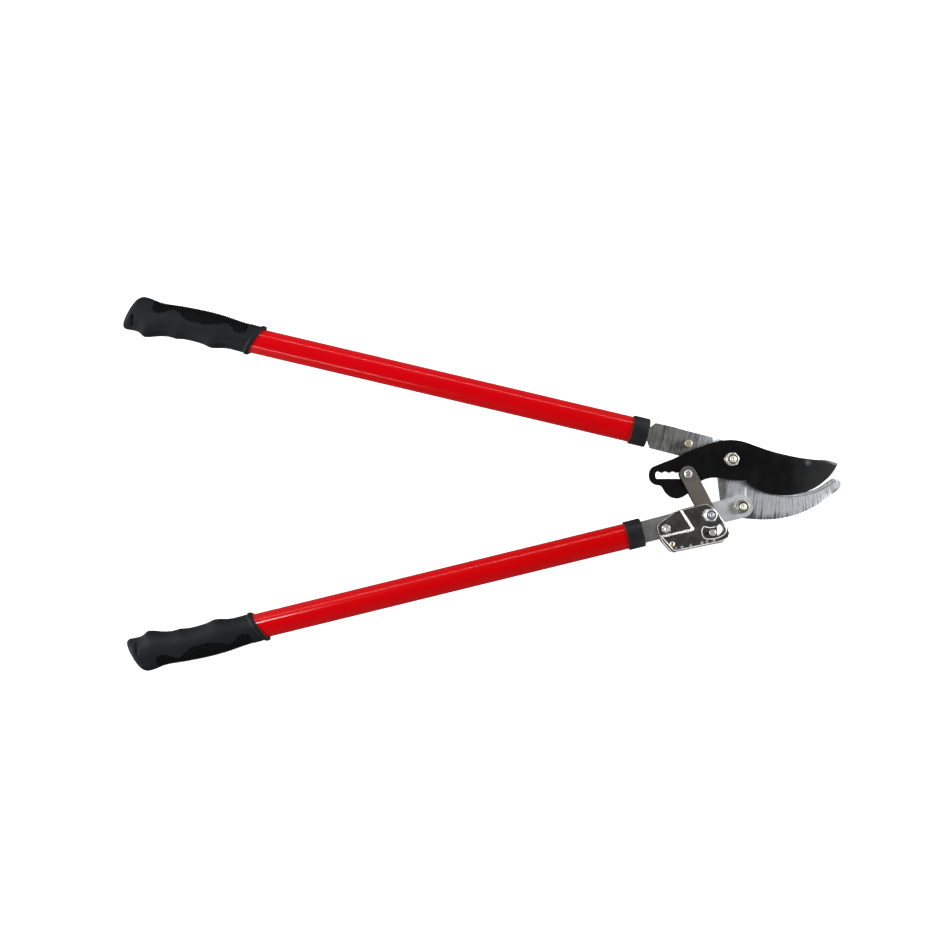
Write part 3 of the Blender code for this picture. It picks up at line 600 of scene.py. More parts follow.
# ------------------------------------------------------------------ materials
def hook_material():
    s = Shader("ground_hook_steel", 1.0, 0.4, (0.56, 0.58, 0.6))
    x, y, z = s.xyz()
    # strokes fan out over the jaw from a point far above it
    fan = s.math("ARCTAN2", s.math("SUBTRACT", x, 0.052),
                 s.math("SUBTRACT", 0.150, y))
    across = s.math("MULTIPLY", fan, 0.19)
    jaw = s.join(across, s.math("MULTIPLY", y, 0.05),
                 s.math("MULTIPLY", z, 0.05))
    tang = s.turned(math.radians(-13.2), (1.0, 0.05, 0.05))
    on_jaw = s.range(x, -0.020, -0.010)
    nd = s.node("ShaderNodeMix", data_type="VECTOR")
    s.put(nd.inputs[0], on_jaw)
    s.put(nd.inputs[4], tang)
    s.put(nd.inputs[5], jaw)
    vec = nd.outputs[1]
    fine = s.noise(1500, 3, 0.6, vec)
    wide = s.noise(620, 2, 0.6, vec)
    patch = s.noise(55, 3, 0.6)
    blotch = s.noise(190, 4, 0.65)
    mixed = s.math("ADD", s.math("MULTIPLY", fine, 0.40),
                   s.math("MULTIPLY", wide, 0.60))
    mixed = s.math("ADD", mixed,
                   s.math("MULTIPLY", s.math("SUBTRACT", patch, 0.5), 0.35))
    light = s.ramp(mixed, [(0.36, (0.24, 0.245, 0.265)),
                           (0.45, (0.55, 0.575, 0.62)),
                           (0.54, (0.84, 0.87, 0.92)),
                           (0.62, (1.0, 1.0, 1.0))])
    dark = s.ramp(mixed, [(0.37, (0.07, 0.068, 0.065)),
                          (0.47, (0.23, 0.227, 0.223)),
                          (0.56, (0.46, 0.46, 0.455)),
                          (0.67, (0.82, 0.82, 0.82))])
    jaw_light = s.range(x, -0.050, -0.018)
    colour = s.mix(jaw_light, dark, light)
    colour = s.mix(s.range(blotch, 0.56, 0.72, 0.0, 0.3), colour,
                   (0.30, 0.295, 0.29))
    # dark strokes that run up from the belly, partly painted shade at its edge,
    # and a painted highlight band on the chamfer by the bite
    def radius(cx, cy):
        dx = s.math("SUBTRACT", x, cx)
        dy = s.math("SUBTRACT", y, cy)
        return s.math("SQRT", s.math("ADD", s.math("MULTIPLY", dx, dx),
                                     s.math("MULTIPLY", dy, dy)))
    # partly painted shade: the belly strokes gather at its rolled outer edge
    belly = s.math("SUBTRACT", radius(0.042, 0.030),
                   s.math("MULTIPLY", s.math("SUBTRACT", wide, 0.5), 0.030))
    belly = s.math("MULTIPLY", s.range(belly, 0.0875, 0.0935, 0.0, 0.78),
                   s.range(x, 0.102, 0.070))
    colour = s.mix(s.math("MULTIPLY", belly, s.range(x, -0.002, 0.006)), colour,
                   (0.085, 0.083, 0.080))
    bite = radius(0.062, 0.040)
    jaw_only = s.math("MULTIPLY", s.range(x, 0.014, 0.020),
                      s.range(y, -0.016, -0.020))
    line = s.math("MULTIPLY", s.range(bite, 0.0786, 0.0792),
                  s.range(bite, 0.0804, 0.0797))
    colour = s.mix(s.math("MULTIPLY", s.math("MULTIPLY", line, jaw_only), 0.6),
                   colour, (0.20, 0.20, 0.20))
    # painted highlight: the chamfer along the bite is painted pale
    band = s.math("MULTIPLY", s.range(bite, 0.0789, 0.0783), jaw_only)
    colour = s.mix(s.math("MULTIPLY", band, 0.6), colour, (0.93, 0.94, 0.96))
    # unground edge band: the left side stays darker; the darker belly edge above
    # is partly painted shade
    left = s.math("MULTIPLY", s.range(x, -0.0020, -0.0062),
                  s.range(y, -0.012, -0.022))
    left = s.math("MULTIPLY", left, 0.75)
    colour = s.mix(left, colour, s.ramp(mixed, [(0.34, (0.10, 0.095, 0.09)),
                                                (0.56, (0.28, 0.27, 0.26)),
                                                (0.74, (0.55, 0.55, 0.55))]))
    s.set("Base Color", colour)
    s.set("Roughness", s.range(mixed, 0.3, 0.75, 0.50, 0.30))
    h = s.math("ADD", s.math("MULTIPLY", fine, 0.6), s.math("MULTIPLY", wide, 1.0))
    s.bump(h, 0.55, 0.00022)
    return s.m


def tang_material():
    s = Shader("blasted_tang_steel", 1.0, 0.45, (0.42, 0.42, 0.41))
    x, y, z = s.xyz()
    grain = s.noise(1400, 3, 0.65)
    cloud = s.noise(150, 4, 0.6)
    along = s.noise(300, 3, 0.6, s.turned(math.radians(13.8), (0.12, 1, 1)))
    mixed = s.math("ADD", s.math("MULTIPLY", grain, 0.4),
                   s.math("ADD", s.math("MULTIPLY", cloud, 0.35),
                          s.math("MULTIPLY", along, 0.25)))
    light = s.ramp(mixed, [(0.36, (0.66, 0.665, 0.68)),
                           (0.52, (0.88, 0.89, 0.91)),
                           (0.62, (1.0, 1.0, 1.0))])
    dark = s.ramp(mixed, [(0.36, (0.19, 0.188, 0.185)),
                          (0.52, (0.38, 0.378, 0.375)),
                          (0.66, (0.66, 0.66, 0.66))])
    colour = s.mix(s.range(x, -0.052, -0.022), dark, light)
    s.set("Base Color", colour)
    s.set("Roughness", s.range(mixed, 0.3, 0.7, 0.52, 0.36))
    s.bump(grain, 0.35, 0.00010)
    return s.m


def coating_material():
    s = Shader("black_blade_coating", 0.0, 0.36, (0.012, 0.0122, 0.013))
    fine = s.noise(2600, 2, 0.5)
    cloud = s.noise(70, 4, 0.6)
    wear = s.noise(900, 3, 0.7, s.turned(math.radians(-20), (0.06, 1, 1)))
    colour = s.mix(s.range(cloud, 0.35, 0.7), (0.0030, 0.0031, 0.0033),
                   (0.0046, 0.0047, 0.0050))
    s.set("Specular IOR Level", 0.22)
    x, y, z = s.xyz()
    # painted reflection: towards the tip, where the hollow ground face tilts, the
    # coating is painted a little lighter
    tip = s.math("ADD", x, s.math("MULTIPLY",
                                  s.math("SUBTRACT", cloud, 0.5), 0.02))
    colour = s.mix(s.range(tip, 0.058, 0.082, 0.0, 0.9), colour,
                   (0.0155, 0.0158, 0.0165))
    # painted highlight: a small pale spot on the ground face near the tip
    dx = s.math("SUBTRACT", x, 0.0800)
    dy = s.math("SUBTRACT", y, -0.0035)
    spot = s.math("SQRT", s.math("ADD", s.math("MULTIPLY", dx, dx),
                                 s.math("MULTIPLY", dy, dy)))
    colour = s.mix(s.range(spot, 0.0045, 0.0, 0.0, 0.8), colour,
                   (0.10, 0.101, 0.105))
    scr = s.range(wear, 0.70, 0.80, 0.0, 0.18)
    colour = s.mix(scr, colour, (0.05, 0.05, 0.052))
    s.set("Base Color", colour)
    s.set("Roughness", s.math("ADD", s.range(cloud, 0.3, 0.7, 0.24, 0.30),
                              s.math("MULTIPLY", scr, 0.1)))
    s.bump(s.math("ADD", s.math("MULTIPLY", fine, 0.5),
                  s.math("MULTIPLY", cloud, 2.0)), 0.12, 0.0001)
    return s.m


def link_material():
    s = Shader("brown_link_steel", 1.0, 0.42, (0.33, 0.30, 0.26))
    grain = s.noise(1700, 3, 0.6)
    cloud = s.noise(110, 4, 0.6)
    roll = s.noise(500, 2, 0.6, s.turned(math.radians(-62.4), (0.08, 1, 1)))
    mixed = s.math("ADD", s.math("MULTIPLY", cloud, 0.5),
                   s.math("ADD", s.math("MULTIPLY", grain, 0.2),
                          s.math("MULTIPLY", roll, 0.3)))
    colour = s.ramp(mixed, [(0.34, (0.17, 0.15, 0.128)),
                            (0.50, (0.28, 0.25, 0.217)),
                            (0.68, (0.41, 0.37, 0.325))])
    # darker round the head of the ratchet pin and in a band along the rim of the
    # link's round end
    x, y, z = s.xyz()
    dx = s.math("SUBTRACT", x, RATCHET_PIN[0] * MM)
    dy = s.math("SUBTRACT", y, RATCHET_PIN[1] * MM)
    r = s.math("SQRT", s.math("ADD", s.math("MULTIPLY", dx, dx),
                              s.math("MULTIPLY", dy, dy)))
    colour = s.mix(s.math("MULTIPLY", s.range(r, 0.0060, 0.0048),
                          s.range(cloud, 0.3, 0.7, 0.5, 0.75)), colour,
                   (0.10, 0.088, 0.075))
    colour = s.mix(s.range(r, 0.0074, 0.0081, 0.0, 0.45), colour,
                   s.mix(s.range(r, 0.0086, 0.0081), colour,
                         (0.12, 0.105, 0.09)))
    s.set("Base Color", colour)
    s.set("Roughness", s.range(mixed, 0.3, 0.7, 0.50, 0.34))
    s.bump(s.math("ADD", grain, roll), 0.22, 0.00008)
    return s.m


def nickel_material():
    s = Shader("nickel_plated_sheet", 1.0, 0.16, (0.58, 0.57, 0.54))
    wave = s.noise(130, 2, 0.5)
    fine = s.noise(1300, 3, 0.6)
    smudge = s.noise(75, 4, 0.65)
    colour = s.mix(s.range(smudge, 0.38, 0.68), (0.50, 0.49, 0.455),
                   (0.66, 0.655, 0.63))
    # painted reflections: bright spots along the lower bend of the front cover
    x, y, z = s.xyz()
    bend_glint = 0.0
    for cx, cy, size in ((-52.7, -91.6, 1.5), (-43.4, -90.1, 1.7),
                         (-31.9, -87.2, 1.5), (-26.7, -85.6, 1.2),
                         (-19.4, -84.6, 1.5), (-58.8, -92.6, 1.2)):
        dx = s.math("SUBTRACT", x, cx * MM)
        dy = s.math("MULTIPLY", s.math("SUBTRACT", y, cy * MM), 0.8)
        r = s.math("SQRT", s.math("ADD", s.math("MULTIPLY", dx, dx),
                                  s.math("MULTIPLY", dy, dy)))
        r = s.math("ADD", r, s.math("MULTIPLY",
                                    s.math("SUBTRACT", fine, 0.5), 0.0060))
        bend_glint = s.math("ADD", s.range(r, size * MM, size * 0.45 * MM), bend_glint,
                       clamp_it=True)
    bend_glint = s.math("MULTIPLY", bend_glint, s.range(z, 0.0235, 0.0242, 0.0, 0.62))
    colour = s.mix(bend_glint, colour, (0.93, 0.93, 0.92))
    s.set("Base Color", colour)
    s.set("Metallic", s.range(bend_glint, 0.0, 1.0, 1.0, 0.45))
    rough = s.math("ADD", s.range(smudge, 0.35, 0.70, 0.10, 0.21),
                   s.range(fine, 0.5, 0.75, 0.0, 0.07))
    rough = s.math("ADD", rough, s.math("MULTIPLY", bend_glint, 0.25))
    s.set("Roughness", rough)
    s.bump(s.math("ADD", s.math("MULTIPLY", wave, 3.0),
                  s.math("MULTIPLY", fine, 0.2)), 0.16, 0.00025)
    return s.m


def bend_highlight_material():
    """Painted highlight on the bends, rims and cut edges of the sheet: a pale,
    half-metallic nickel.
    """
    s = Shader("painted_bend_highlight_nickel", 0.45, 0.42, (0.9, 0.9, 0.88))
    fine = s.noise(900, 3, 0.6)
    patch = s.noise(160, 3, 0.6)
    colour = s.mix(s.range(patch, 0.34, 0.54), (0.66, 0.655, 0.635),
                   (1.0, 1.0, 0.99))
    s.set("Base Color", colour)
    s.set("Roughness", s.range(fine, 0.3, 0.7, 0.5, 0.34))
    s.bump(fine, 0.1, 0.00006)
    return s.m


def zinc_material(name="bright_zinc", tint=(0.86, 0.86, 0.84), rough=0.40,
                  painted_shade_below=None):
    """Zinc plating; its sides under the given height, in mm, are painted in brown
    shade.
    """
    s = Shader(name, 1.0, rough, tint)
    mott = s.noise(700, 4, 0.7)
    fine = s.noise(2600, 3, 0.6)
    grime = s.noise(260, 4, 0.65)
    lo = tuple(c * 0.82 for c in tint)
    colour = s.mix(s.range(mott, 0.36, 0.64), lo, tint)
    colour = s.mix(s.range(grime, 0.60, 0.76, 0.0, 0.25), colour,
                   (0.16, 0.15, 0.13))
    # painted shade in the ring between a nut and its bolt, in the rivet head's
    # groove and in the centre dimples
    x, y, z = s.xyz()
    ring = 0.0
    for (cx, cy), r0, r1, low in ((MAIN, 3.5, 4.9, 25.9),
                                  (HANDLE_PIVOT, 3.7, 5.0, 25.9),
                                  (LINK_PIVOT, 3.5, 4.6, 29.0),
                                  (RATCHET_PIN, 1.75, 2.45, 24.6)):
        dx = s.math("SUBTRACT", x, cx * MM)
        dy = s.math("SUBTRACT", y, cy * MM)
        r = s.math("SQRT", s.math("ADD", s.math("MULTIPLY", dx, dx),
                                  s.math("MULTIPLY", dy, dy)))
        r = s.math("ADD", r, s.math("MULTIPLY",
                                    s.math("SUBTRACT", grime, 0.5), 0.0010))
        soft = s.math("MULTIPLY", s.range(r, (r0 - 0.3) * MM, (r0 + 0.3) * MM),
                      s.range(r, (r1 + 0.3) * MM, (r1 - 0.3) * MM))
        soft = s.math("ADD", soft, s.range(r, 0.0012, 0.0006, 0.0, 0.7),
                      clamp_it=True)
        soft = s.math("MULTIPLY", soft, s.range(z, (low - 0.3) * MM,
                                                (low + 0.3) * MM, 0.0, 0.88))
        ring = s.math("ADD", soft, ring, clamp_it=True)
    colour = s.mix(ring, colour, (0.035, 0.032, 0.028))
    # painted shade: the sides under that height are darkened brown
    if painted_shade_below is not None:
        side = s.range(z, (painted_shade_below + 0.25) * MM, (painted_shade_below - 0.25) * MM, 0.0, 0.85)
        colour = s.mix(side, colour, (0.125, 0.105, 0.080))
    s.set("Base Color", colour)
    s.set("Roughness", s.range(mott, 0.3, 0.7, rough + 0.05, rough - 0.03))
    s.bump(s.math("ADD", s.math("MULTIPLY", mott, 0.5), fine), 0.08, 0.00006)
    return s.m


def paint_material():
    s = Shader("red_tube_paint", 0.0, 0.2, (0.72, 0.002, 0.006))
    peel = s.noise(420, 2, 0.5)
    spot = s.noise(2500, 2, 0.5)
    tone = s.noise(16, 3, 0.5)
    x, y, z = s.xyz()
    # the lower tube is a shade deeper, and so are both near the head
    deep = s.math("ADD", s.range(y, 0.06, -0.06, 0.0, 0.5),
                  s.range(x, -0.45, -0.12, 0.0, 0.5))
    colour = s.mix(deep, (0.485, 0.0, 0.0030), (0.415, 0.0, 0.0008))
    colour = s.mix(s.range(tone, 0.35, 0.65, 0.0, 0.5), colour,
                   (0.445, 0.0003, 0.0018))
    colour = s.mix(s.range(spot, 0.72, 0.80, 0.0, 0.25), colour,
                   (0.32, 0.0, 0.001))
    s.set("Base Color", colour)
    s.set("Roughness", s.range(peel, 0.3, 0.7, 0.12, 0.17))
    s.set("Specular IOR Level", 0.3)
    s.bump(peel, 0.02, 0.0002)
    return s.m


def rubber_material(name="black_grip_rubber", shade=1.0, shine=0.17):
    s = Shader(name, 0.0, 0.55, (0.018, 0.019, 0.021))
    grain = s.noise(1900, 3, 0.6)
    cloud = s.noise(38, 4, 0.6)
    dust = s.noise(3600, 2, 0.5)
    s.set("Specular IOR Level", shine)
    colour = s.mix(s.range(cloud, 0.35, 0.68),
                   (0.0034 * shade, 0.0039 * shade, 0.0048 * shade),
                   (0.0056 * shade, 0.0063 * shade, 0.0075 * shade))
    colour = s.mix(s.range(dust, 0.70, 0.80, 0.0, 0.35 * shade), colour,
                   (0.03, 0.031, 0.034))
    s.set("Base Color", colour)
    s.set("Roughness", s.range(cloud, 0.3, 0.7, 0.58, 0.46))
    s.bump(grain, 0.25, 0.00012)
    return s.m


def plastic_material():
    s = Shader("black_collar_plastic", 0.0, 0.42, (0.014, 0.0142, 0.016))
    grain = s.noise(2300, 3, 0.6)
    cloud = s.noise(90, 3, 0.6)
    s.set("Base Color", s.mix(s.range(cloud, 0.35, 0.68),
                              (0.0075, 0.0078, 0.0086),
                              (0.0120, 0.0123, 0.0135)))
    s.set("Specular IOR Level", 0.22)
    s.set("Roughness", s.range(cloud, 0.3, 0.7, 0.44, 0.34))
    s.bump(grain, 0.2, 0.0001)
    return s.m


def nylon_material():
    s = Shader("blue_nylon_ring", 0.0, 0.45, (0.05, 0.06, 0.30))
    n = s.noise(1500, 3, 0.6)
    s.set("Base Color", s.mix(n, (0.11, 0.125, 0.28), (0.16, 0.18, 0.38)))
    s.set("Roughness", s.range(n, 0.3, 0.7, 0.5, 0.38))
    s.bump(n, 0.2, 0.0001)
    return s.m


HOOK = hook_material()
TANG = tang_material()
COATING = coating_material()
LINK = link_material()
NICKEL = nickel_material()
BEND_HIGHLIGHT = bend_highlight_material()
ZINC = zinc_material()
DULL_ZINC = zinc_material("dull_zinc", (0.66, 0.66, 0.65), 0.42)
CREAM = zinc_material("pale_yellow_zinc", (0.95, 0.92, 0.74), 0.42)
YELLOW = zinc_material("yellow_zinc", (0.74, 0.66, 0.48), 0.40)
KHAKI = zinc_material("dull_yellow_zinc", (0.60, 0.53, 0.40), 0.45, 27.35)
DARK_ZINC = zinc_material("olive_zinc", (0.36, 0.355, 0.31), 0.40, 26.3)
SPRING = zinc_material("spring_wire", (0.50, 0.50, 0.51), 0.30)
PAINT = paint_material()
RUBBER = rubber_material()
GROOVE = rubber_material("shaded_rib_rubber", 0.12, 0.03)
PLASTIC = plastic_material()
NYLON = nylon_material()


# -------------------------------------------------------------------- handles
class Handle:
    """Points along one handle: s outward, t to its outer side, z up."""

    def __init__(self, head, degrees, outer):
        self.head = head
        a = math.radians(degrees)
        self.d = (math.cos(a), math.sin(a))
        self.n = (-self.d[1] * outer, self.d[0] * outer)

    def at(self, s, t):
        return (self.head[0] + s * self.d[0] + t * self.n[0],
                self.head[1] + s * self.d[1] + t * self.n[1])

    def at3(self, s, t, z):
        x, y = self.at(s, t)
        return (x, y, z)

    def matrix(self):
        """Takes a body built about the vertical onto this handle, in mm."""
        d = Vector((self.d[0], self.d[1], 0.0))
        n = Vector((self.n[0], self.n[1], 0.0))
        m = Matrix((n, d.cross(n), d)).transposed().to_4x4()
        if m.determinant() < 0:
            m = Matrix((n, n.cross(d), d)).transposed().to_4x4()
        m.translation = Vector((self.head[0], self.head[1], Z_AXIS))
        return m


UPPER = Handle((-87.4, 27.4), 166.72, -1)
LOWER = Handle((-92.4, -76.5), 193.77, 1)

# distance from the grip's lip, outer edge, inner edge, half height
GRIP = [(8.6, 15.9, -15.4, 14.9), (8.95, 16.5, -15.85, 15.1),
        (9.6, 17.05, -16.25, 15.3), (10.7, 17.2, -16.4, 15.4),
        (12.4, 17.15, -16.35, 15.4), (13.3, 16.7, -15.9, 15.2),
        (14.0, 15.95, -15.3, 15.0), (14.9, 15.75, -15.1, 14.95),
        (17.0, 15.8, -14.95, 14.95), (22.0, 16.0, -14.75, 15.0),
        (29.0, 16.2, -14.65, 15.05), (34.0, 16.5, -15.1, 15.1),
        (39.0, 16.9, -16.1, 15.2), (43.5, 17.4, -17.35, 15.3),
        (47.5, 17.8, -17.9, 15.4), (51.0, 18.15, -17.6, 15.45),
        (55.0, 18.45, -16.7, 15.5), (60.0, 18.7, -16.0, 15.5),
        (66.0, 18.9, -15.65, 15.5), (73.0, 18.95, -15.55, 15.5),
        (79.0, 18.85, -15.85, 15.5), (83.5, 18.7, -16.6, 15.5),
        (86.5, 18.55, -17.15, 15.5), (90.0, 18.4, -16.95, 15.5),
        (96.0, 18.1, -16.95, 15.5), (102.0, 17.65, -18.0, 15.45),
        (107.0, 17.15, -19.5, 15.4), (112.0, 16.7, -21.4, 15.35),
        (116.0, 16.5, -22.6, 15.3), (119.0, 16.5, -22.7, 15.3),
        (123.0, 16.65, -20.9, 15.3), (127.0, 17.1, -19.4, 15.3),
        (131.0, 17.75, -19.0, 15.28), (135.0, 18.2, -19.15, 15.25),
        (138.3, 18.15, -19.35, 15.2), (140.5, 17.5, -19.3, 14.9),
        (142.0, 16.4, -18.75, 14.2), (143.1, 14.8, -17.8, 13.1),
        (143.8, 12.9, -16.5, 11.7)]
# lower border of the ribbed field: distance along the tube, distance across
RIB_EDGE = [(18.9, 9.0), (20.8, 4.8), (25.4, 3.2), (30.4, 3.8), (34.3, 7.0),
            (38.0, 9.5), (41.0, 10.2), (44.0, 9.5), (47.6, 7.9), (52.0, 6.2),
            (57.7, 4.7), (63.0, 3.6), (68.2, 3.1), (73.0, 3.1), (78.1, 3.7),
            (85.0, 5.4), (89.0, 7.6), (92.7, 10.2), (97.4, 11.4),
            (101.0, 9.9), (105.1, 7.4), (109.5, 5.0), (114.1, 4.0),
            (118.4, 5.2), (120.4, 8.5)]
RIB_PITCH = 2.55
POCKET = ((137.9, -5.6), (137.2, -13.0), 2.2)    # s, t ends and radius


def lean(s):
    """How far a ring leans along the tube for each mm off its axis."""
    return -0.4 + 0.12 * clamp((s - 8.6) / 135.3)


def grip(prefix, handle, start, body):
    stations = table(GRIP)
    border = table(RIB_EDGE)
    n = 120
    pa, pb, pr = POCKET
    pocket = distance_to([pa, pb])
    qs = []
    q = 8.6
    while q < 16.0:
        qs.append(q)
        q += 0.35
    while q < 139.0:
        qs.append(q)
        q += 0.37
    while q < 143.8:
        qs.append(q)
        q += 0.3
    qs.append(143.8)

    def place_point(s, t, h):
        x, y = handle.at(start + s, t)
        return (x, y, Z_AXIS + h)

    rings = []
    groove = []                  # faces at the bottom of the ribs
    # bore wall and lip face, from inside out
    for r, q in ((13.75, 40.0), (13.75, 9.4), (14.0, 8.8), (14.5, 8.6)):
        rings.append([place_point(q + lean(q) * r * math.cos(a),
                                  r * math.cos(a), r * math.sin(a))
                      for a in (TAU * i / n for i in range(n))])
    for q in qs:
        outer, inner, half_h = stations(q)
        slant = lean(q)
        mid, half_w = (outer + inner) / 2, (outer - inner) / 2
        k = 2.0 + 0.3 * step(q, 12.0, 34.0)
        ring = []
        for i in range(n):
            a = TAU * i / n
            ca, sa = math.cos(a), math.sin(a)
            ct = math.copysign(abs(ca) ** (2 / k), ca)
            st = math.copysign(abs(sa) ** (2 / k), sa)
            t = mid + half_w * ct
            h = half_h * st
            nt = math.copysign(abs(ca) ** (2 - 2 / k), ca) / half_w
            nh = math.copysign(abs(sa) ** (2 - 2 / k), sa) / half_h
            ln = math.hypot(nt, nh)
            nt, nh = nt / ln, nh / ln
            s = q + slant * t
            off = 0.0
            if 18.0 < s < 121.1 and t > 2.0:
                edge = border(s)[0]
                m = (step(t, edge - 0.35, edge + 0.45)
                     * step(s, 18.9, 19.5) * (1 - step(s, 119.9, 120.5)))
                wave = 0.5 + 0.5 * math.cos(TAU * (s - 19.0) / RIB_PITCH)
                off -= m * (0.05 + 1.1 * (1 - wave ** 1.5))
                if m > 0.5 and wave < 0.80:
                    groove.append(len(rings) * n + i)
            # moulding line round the grip's edge
            off += 0.10 * math.exp(-(h / 0.35) ** 2) * step(q, 15.0, 17.0)
            if h > 0 and q > 128:
                d = pocket(s, t)
                h -= 2.6 * (1 - step(d, pr - 1.5, pr + 0.5))
            ring.append(place_point(s, t + nt * off, h + nh * off))
        rings.append(ring)
    last = stations(143.8)
    slant = lean(143.8)
    for f, q in ((0.93, 144.0), (0.8, 144.06), (0.55, 144.1), (0.25, 144.1)):
        outer, inner, half_h = last
        mid, half_w = (outer + inner) / 2, (outer - inner) / 2
        ring = []
        for i in range(n):
            a = TAU * i / n
            ca, sa = math.cos(a), math.sin(a)
            t = mid + half_w * f * math.copysign(abs(ca) ** (2 / 2.3), ca)
            h = half_h * f * math.copysign(abs(sa) ** (2 / 2.3), sa)
            ring.append(place_point(q - 0.2 + slant * t, t, h))
        rings.append(ring)
    ob = skin(prefix + "_grip_rubber", rings, [RUBBER, GROOVE], False, True,
              angle=50)
    for k in groove:
        ob.data.polygons[k].material_index = 1
    return piece(ob, body, "grip_rubber", prefix + "_grip")


def collar(prefix, handle, body, slot_z, half):
    prof = [(0.0, 3.2), (13.8, 3.2), (13.8, COLLAR_LEN - 0.25),
            (14.0, COLLAR_LEN), (14.8, COLLAR_LEN), (15.03, COLLAR_LEN - 0.07),
            (15.15, COLLAR_LEN - 0.22), (15.2, COLLAR_LEN - 0.45),
            (15.2, 9.0), (15.17, 1.2), (15.08, 0.7), (14.85, 0.32),
            (14.5, 0.1), (14.0, 0.0), (11.8, 0.0), (0.0, 0.0)]
    ob = lathe(prefix + "_collar_plastic", prof, (0.0, 0.0), PLASTIC, segs=96,
               matrix=handle.matrix(), angle=38)
    gap = 0.3
    pts = rounded([handle.at(-2.0, -half - gap), handle.at(6.0, -half - gap),
                   handle.at(6.0, half + gap), handle.at(-2.0, half + gap)],
                  0.6, 3)
    cutter = slab(prefix + "_collar_cutter", pts, [],
                  (slot_z[0] - gap, slot_z[1] + gap), PLASTIC, bevel=0)
    mod = ob.modifiers.new("slot", "BOOLEAN")
    mod.operation = "DIFFERENCE"
    mod.solver = "EXACT"
    mod.object = cutter
    bpy.context.view_layer.update()
    dg = bpy.context.evaluated_depsgraph_get()
    me = bpy.data.meshes.new_from_object(ob.evaluated_get(dg))
    ob.modifiers.clear()
    ob.data = me
    bpy.data.objects.remove(cutter, do_unlink=True)
    return piece(ob, body, "collar_plastic", prefix + "_collar")


def tube(prefix, handle, start, body):
    s0, s1 = TUBE_START, start + TUBE_IN_GRIP
    prof = [(TUBE_BORE, s0 + 0.3), (TUBE_BORE + 0.3, s0), (TUBE_R - 0.3, s0),
            (TUBE_R, s0 + 0.3)]
    k = 24
    prof += [(TUBE_R, s0 + 0.3 + (s1 - s0 - 0.6) * i / k)
             for i in range(1, k + 1)]
    prof += [(TUBE_R - 0.3, s1), (TUBE_BORE + 0.3, s1), (TUBE_BORE, s1 - 0.3)]
    ob = lathe(prefix + "_tube_painted", prof, (0.0, 0.0), PAINT, segs=128,
               ring=True, matrix=handle.matrix(), angle=40)
    return piece(ob, body, "handle_paint", prefix + "_tube")


for prefix, handle, start, body, slot_z, half in (
        ("upper", UPPER, UPPER_GRIP_S, "frame", HOOK_Z, 7.65),
        ("lower", LOWER, LOWER_GRIP_S, "lower_handle", BLADE_Z, 11.3)):
    tube(prefix, handle, start, body)
    collar(prefix, handle, body, slot_z, half)
    grip(prefix, handle, start, body)
    c = handle.at(PIN_S, 0.0)
    ob = lathe(prefix + "_cross_pin",
               [(0.0, Z_AXIS + 13.1), (1.9, Z_AXIS + 13.1),
                (2.4, Z_AXIS + 12.6), (2.4, Z_AXIS - 12.6),
                (1.9, Z_AXIS - 13.1), (0.0, Z_AXIS - 13.1)], c, DULL_ZINC, 32)
    piece(ob, body, "zinc", prefix + "_tang_pin")

# ------------------------------------------------------------------- hook jaw
NECK = 7.65
hook_top = [UPPER.at(TANG_NECK_S, NECK), UPPER.at(-3.2, NECK),
            (-77.9, 38.1), (-59.9, 34.1), (-46.6, 30.3), (-30.5, 26.3),
            (-14.0, 22.0)]
hook_round = smooth([(-14.0, 22.0), (-6.0, 19.6), (4.0, 17.2), (12.5, 12.0),
                     (18.0, 4.0), (19.6, -6.0), (18.0, -15.0),
                     (14.9, -21.8)], 4)[1:]
hook_inner = smooth([(14.9, -21.8), (20.0, -25.5), (27.5, -29.6),
                     (37.0, -33.0), (47.0, -35.0), (58.0, -36.0),
                     (70.0, -35.8), (79.0, -34.7), (89.4, -32.3),
                     (96.9, -28.6), (103.5, -24.0), (108.1, -20.8)], 6)[1:]
hook_tip = smooth([(108.1, -20.8), (111.0, -20.0), (114.7, -22.1),
                   (116.3, -26.3), (114.7, -30.4), (110.0, -34.9)], 6)[1:]
hook_outer = smooth([(110.0, -34.9), (100.7, -42.3), (91.2, -48.5),
                     (81.9, -53.4), (72.5, -57.2), (63.2, -60.0),
                     (53.7, -62.0), (44.4, -63.1), (35.0, -63.4),
                     (25.6, -63.0), (13.0, -61.9), (4.5, -60.2),
                     (-2.6, -56.4), (-7.4, -50.6), (-9.5, -42.3)], 5)[1:]
hook_left = [(-12.1, -19.3)]
hook_under = smooth([(-12.1, -19.3), (-14.8, -10.6), (-22.0, -5.0),
                     (-33.0, -1.4), (-54.0, 4.2)], 4)[1:]
hook_low = [(-69.1, 8.1), (-83.9, 11.9), UPPER.at(-3.2, -NECK),
            UPPER.at(TANG_NECK_S, -NECK)]
hook_outline = (hook_top + hook_round + hook_inner + hook_tip + hook_outer
                + hook_left + hook_under + hook_low)
to_belly = distance_to(hook_outer + [(-9.5, -42.3)])
to_left = distance_to([(-9.5, -42.3), (-12.1, -19.3)])
to_inner = distance_to(hook_inner + hook_tip[:10])


def hook_face(x, y):
    """Forged face: rolls down at the belly, the left side and the bite."""
    z = HOOK_Z[1]
    d = to_belly(x, y)
    if d < 6.5 and x > -7:
        z -= 1.5 * (1 - d / 6.5) ** 2
    d = to_left(x, y)
    if d < 8.0 and -44 < y < -14:
        z -= 1.3 * (1 - d / 8.0) ** 1.6
    d = to_inner(x, y)
    if d < 2.4 and x > 15:
        z -= 0.8 * (1 - d / 2.4) * step(x, 15, 20)
    if 15.5 < x < 19.5 and y < -20:
        z -= 0.35 * (1 - abs(x - 17.5) / 2.0)
    return z


